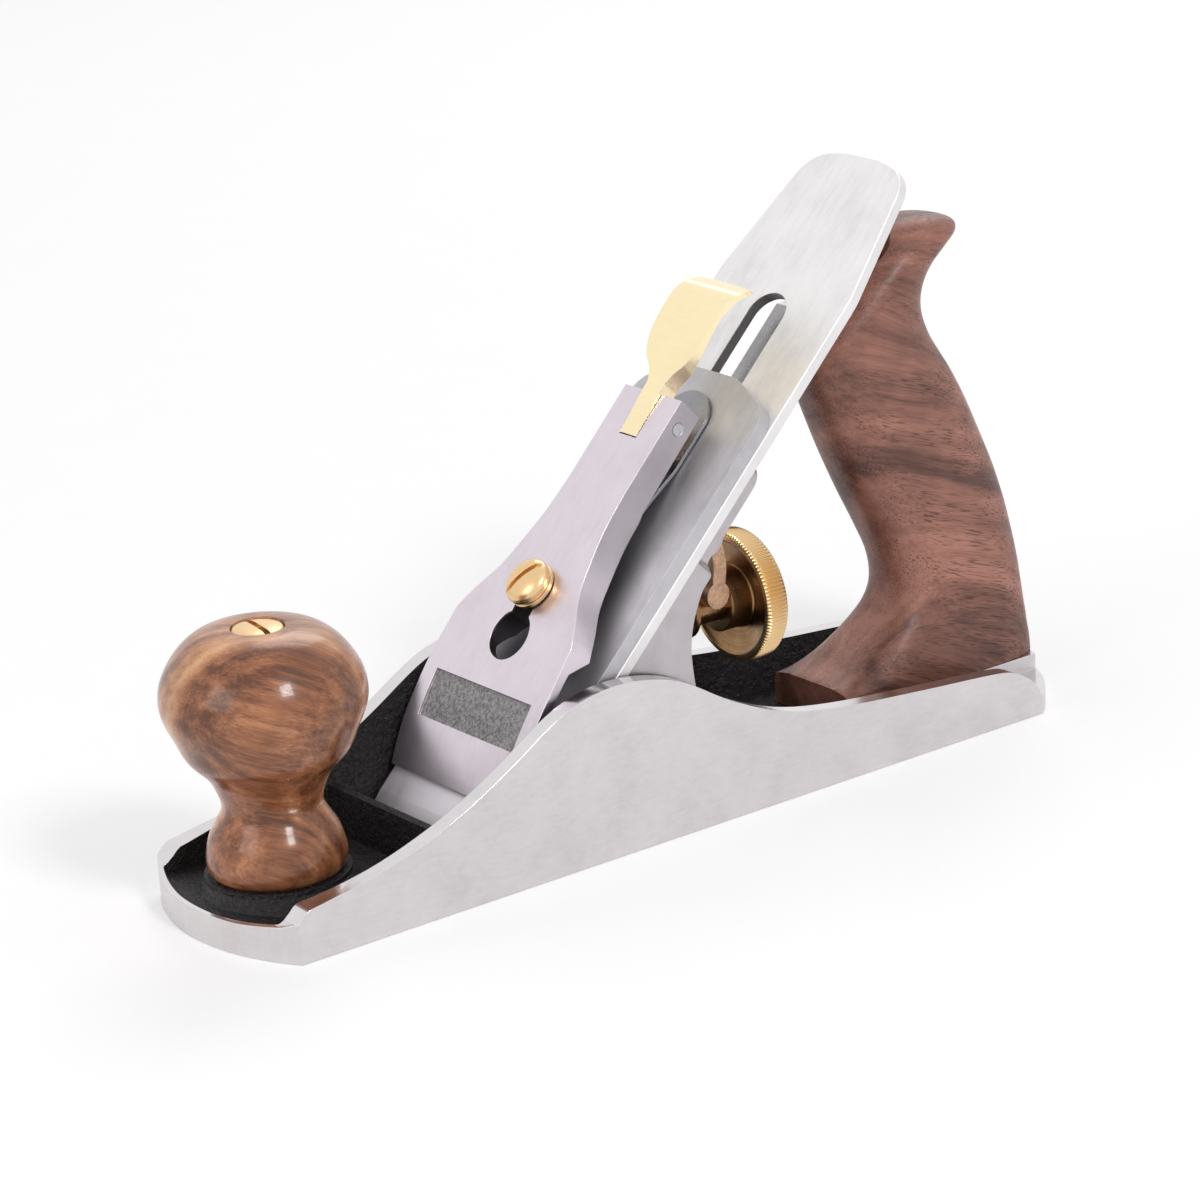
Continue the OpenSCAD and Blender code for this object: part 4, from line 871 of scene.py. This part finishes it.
def build_lamps(looks):
    """Three square lamps aimed at the plane."""
    for (name, place, size), power in zip(LAMPS, (looks.key_power, looks.fill_power, looks.back_power)):
        light = bpy.data.lights.new(name, "AREA")
        light.energy = power
        light.size = size
        lamp = bpy.data.objects.new(name, light)
        lamp.location = place
        aim = Vector(LAMP_AIM) - Vector(place)
        lamp.rotation_euler = aim.to_track_quat("-Z", "Y").to_euler()
        bpy.context.scene.collection.objects.link(lamp)


# Add-on

def tint(name, description, colour):
    """Property for a colour."""
    return FloatVectorProperty(name=name, description=description, default=colour, subtype="COLOR",
                               min=0, max=1)


def lamp_power(name, description, watts):
    """Property for the power of a lamp."""
    return FloatProperty(name=name, description=description, default=watts, min=0, unit="POWER")


class PlaneLooks(bpy.types.PropertyGroup):
    """Sizes and colours that a user may change."""
    casting_edge: FloatProperty(name="Casting edge", default=0.4, min=0, max=1,
                                description="Width of the eased edges of the casting in mm")
    blade_edge: FloatProperty(name="Blade edge", default=0.25, min=0, max=1,
                              description="Width of the eased edges of the iron in mm")
    ground_iron: tint("Ground iron", "Colour of the ground faces of the casting", (0.67, 0.64, 0.645))
    enamel: tint("Enamel", "Colour of the enamel inside the casting", (0.010, 0.008, 0.009))
    frog: tint("Frog", "Colour of the frog", (0.50, 0.465, 0.485))
    blade: tint("Blade steel", "Colour of the iron", (0.80, 0.785, 0.785))
    cap_iron: tint("Cap iron", "Colour of the cap iron", (0.54, 0.53, 0.55))
    # Colour of the painted highlight on the cap iron's front edge
    cap_iron_front: tint("Cap iron front", "Colour of the cap iron's front edge", (0.95, 0.92, 0.97))
    cap: tint("Lever cap", "Colour of the lever cap", (0.71, 0.64, 0.70))
    panel: tint("Panel", "Colour of the lever cap's sunken panel", (0.42, 0.41, 0.415))
    spring: tint("Spring", "Colour of the leaf spring", (0.30, 0.30, 0.32))
    fasteners: tint("Fasteners", "Colour of the pins, rods and screws", (0.50, 0.50, 0.51))
    brass: tint("Polished brass", "Colour of the polished brass", (0.97, 0.82, 0.52))
    screw_brass: tint("Screw brass", "Colour of the brass screw and nuts", (0.82, 0.57, 0.30))
    wheel_brass: tint("Wheel brass", "Colour of the turned wheel", (0.36, 0.21, 0.10))
    rim_brass: tint("Rim brass", "Colour of the wheel's rim", (0.74, 0.52, 0.27))
    bronze: tint("Bronze", "Colour of the cast yoke", (0.66, 0.42, 0.28))
    wood_dark: tint("Knob streak", "Darkest tone of the knob", (0.14, 0.048, 0.022))
    wood_mid: tint("Knob wood", "Middle tone of the knob", (0.33, 0.125, 0.056))
    wood_pale: tint("Knob pale wood", "Pale tone of the knob", (0.50, 0.225, 0.105))
    wood_light: tint("Knob lightest wood", "Lightest tone of the knob", (0.65, 0.36, 0.19))
    tote_dark: tint("Tote streak", "Darkest tone of the tote", (0.105, 0.043, 0.031))
    tote_mid: tint("Tote wood", "Middle tone of the tote", (0.215, 0.092, 0.066))
    tote_pale: tint("Tote pale wood", "Pale tone of the tote", (0.31, 0.134, 0.097))
    tote_light: tint("Tote lightest wood", "Lightest tone of the tote", (0.42, 0.19, 0.14))
    floor_colour: tint("Floor", "Colour of the floor", (0.86, 0.86, 0.87))
    floor_lift: FloatProperty(name="Floor lift", description="Light that the floor adds for the camera",
                              default=0.2, min=0, max=1)
    sky_level: FloatProperty(name="Sky level", description="Strength of the light from all round",
                             default=0.6, min=0, max=1)
    key_power: lamp_power("Key lamp", "Power of the key lamp", 8.0)
    fill_power: lamp_power("Fill lamp", "Power of the fill lamp", 4.0)
    back_power: lamp_power("Back lamp", "Power of the back lamp", 5.0)


class PLANE_OT_stage(bpy.types.Operator):
    """Floor, lamps, world and camera"""
    bl_idname = "plane.stage"
    bl_label = "Stage"
    bl_options = {"REGISTER", "UNDO"}

    def execute(self, context):
        looks = context.scene.plane_looks
        context.scene.view_settings.view_transform = "Standard"
        build_camera()
        build_floor(looks)
        build_world(looks)
        build_lamps(looks)
        return {"FINISHED"}


class PLANE_OT_casting(bpy.types.Operator):
    """Body casting with eased edges"""
    bl_idname = "plane.casting"
    bl_label = "Casting"
    bl_options = {"REGISTER", "UNDO"}

    def execute(self, context):
        looks = context.scene.plane_looks
        eased_copy("body", finish_of("casting", looks), looks.casting_edge)
        return {"FINISHED"}


class PLANE_OT_frog(bpy.types.Operator):
    """Frog with its pins and screws"""
    bl_idname = "plane.frog"
    bl_label = "Frog"
    bl_options = {"REGISTER", "UNDO"}

    def execute(self, context):
        looks = context.scene.plane_looks
        eased_copy("frog", finish_of("frog_metal", looks), width=0.3)
        for node in ("adjust_tab", "tab_screw", "frog_pins", "frog_clamp_screws", "frog_adjust_screw",
                     "depth_stud", "yoke_pin", "lateral_pivot"):
            paint_node(node, finish_of("steel_fasteners", looks))
        return {"FINISHED"}


class PLANE_OT_cutter(bpy.types.Operator):
    """Cutting iron, cap iron and their screw"""
    bl_idname = "plane.cutter"
    bl_label = "Cutting iron"
    bl_options = {"REGISTER", "UNDO"}

    def execute(self, context):
        looks = context.scene.plane_looks
        eased_copy("iron", finish_of("blade_steel", looks), looks.blade_edge, crease=20)
        eased_copy("cap_iron", finish_of("cap_steel", looks), looks.blade_edge)
        paint_node("cap_iron_screw", finish_of("steel_fasteners", looks))
        return {"FINISHED"}


class PLANE_OT_cap(bpy.types.Operator):
    """Lever cap with its spring, cam lever and screw"""
    bl_idname = "plane.cap"
    bl_label = "Lever cap"
    bl_options = {"REGISTER", "UNDO"}

    def execute(self, context):
        looks = context.scene.plane_looks
        eased_copy("lever_cap", finish_of("lever_cap_metal", looks), width=0.35)
        eased_copy("leaf_spring", finish_of("spring_steel", looks), width=0.1)
        eased_copy("cam_lever", finish_of("polished_brass", looks), width=0.4, crease=30, segments=3)
        eased_copy("lever_cap_screw", finish_of("satin_brass", looks), width=0.12)
        for node in ("spring_rivet", "cam_pin"):
            paint_node(node, finish_of("steel_fasteners", looks))
        return {"FINISHED"}


class PLANE_OT_adjuster(bpy.types.Operator):
    """Depth wheel and yoke"""
    bl_idname = "plane.adjuster"
    bl_label = "Depth adjuster"
    bl_options = {"REGISTER", "UNDO"}

    def execute(self, context):
        looks = context.scene.plane_looks
        wheel = place_mesh("depth_wheel_turned", wheel_mesh(), crease=40)
        dress(wheel, "depth_wheel", finish_of("turned_brass", looks))
        eased_copy("yoke", finish_of("cast_bronze", looks), width=0.5, crease=30, segments=3)
        return {"FINISHED"}


class PLANE_OT_lateral(bpy.types.Operator):
    """Lateral lever and its roller"""
    bl_idname = "plane.lateral"
    bl_label = "Lateral lever"
    bl_options = {"REGISTER", "UNDO"}

    def execute(self, context):
        looks = context.scene.plane_looks
        eased_copy("lateral_lever", finish_of("steel_fasteners", looks), width=0.25)
        paint_node("lateral_roller", finish_of("steel_fasteners", looks))
        return {"FINISHED"}


class PLANE_OT_knob(bpy.types.Operator):
    """Turned knob with its nut"""
    bl_idname = "plane.knob"
    bl_label = "Knob"
    bl_options = {"REGISTER", "UNDO"}

    def execute(self, context):
        looks = context.scene.plane_looks
        dress(place_mesh("knob_turned", knob_mesh(), crease=50), "knob", finish_of("knob_wood", looks))
        eased_copy("knob_nut", finish_of("satin_brass", looks), width=0.15)
        paint_node("knob_rod", finish_of("steel_fasteners", looks))
        return {"FINISHED"}


class PLANE_OT_tote(bpy.types.Operator):
    """Shaped tote with its nut"""
    bl_idname = "plane.tote"
    bl_label = "Tote"
    bl_options = {"REGISTER", "UNDO"}

    def execute(self, context):
        looks = context.scene.plane_looks
        dress(tote_piece(), "tote", finish_of("tote_wood", looks))
        eased_copy("tote_nut", finish_of("satin_brass", looks), width=0.15)
        paint_node("tote_rod", finish_of("steel_fasteners", looks))
        return {"FINISHED"}


OPERATORS = [PLANE_OT_stage, PLANE_OT_casting, PLANE_OT_frog, PLANE_OT_cutter, PLANE_OT_cap,
             PLANE_OT_adjuster, PLANE_OT_lateral, PLANE_OT_knob, PLANE_OT_tote]


class PLANE_PT_parts(bpy.types.Panel):
    """Lists the pieces of the plane."""
    bl_label = "Smoothing plane"
    bl_space_type = "VIEW_3D"
    bl_region_type = "UI"
    bl_category = "Plane"

    def draw(self, context):
        """A button for each operator, then the properties."""
        for operator in OPERATORS:
            self.layout.operator(operator.bl_idname)
        for name in PlaneLooks.__annotations__:
            self.layout.prop(context.scene.plane_looks, name)


CLASSES = [PlaneLooks, *OPERATORS, PLANE_PT_parts]


def register():
    """Adds the classes and the scene's property group."""
    for one in CLASSES:
        bpy.utils.register_class(one)
    bpy.types.Scene.plane_looks = PointerProperty(type=PlaneLooks)


def unregister():
    """Takes them out again."""
    del bpy.types.Scene.plane_looks
    for one in reversed(CLASSES):
        bpy.utils.unregister_class(one)


def main():
    """Builds the stage and every piece."""
    register()
    for operator in OPERATORS:
        group, name = operator.bl_idname.split(".")
        getattr(getattr(bpy.ops, group), name)()


if __name__ == "__main__":
    main()
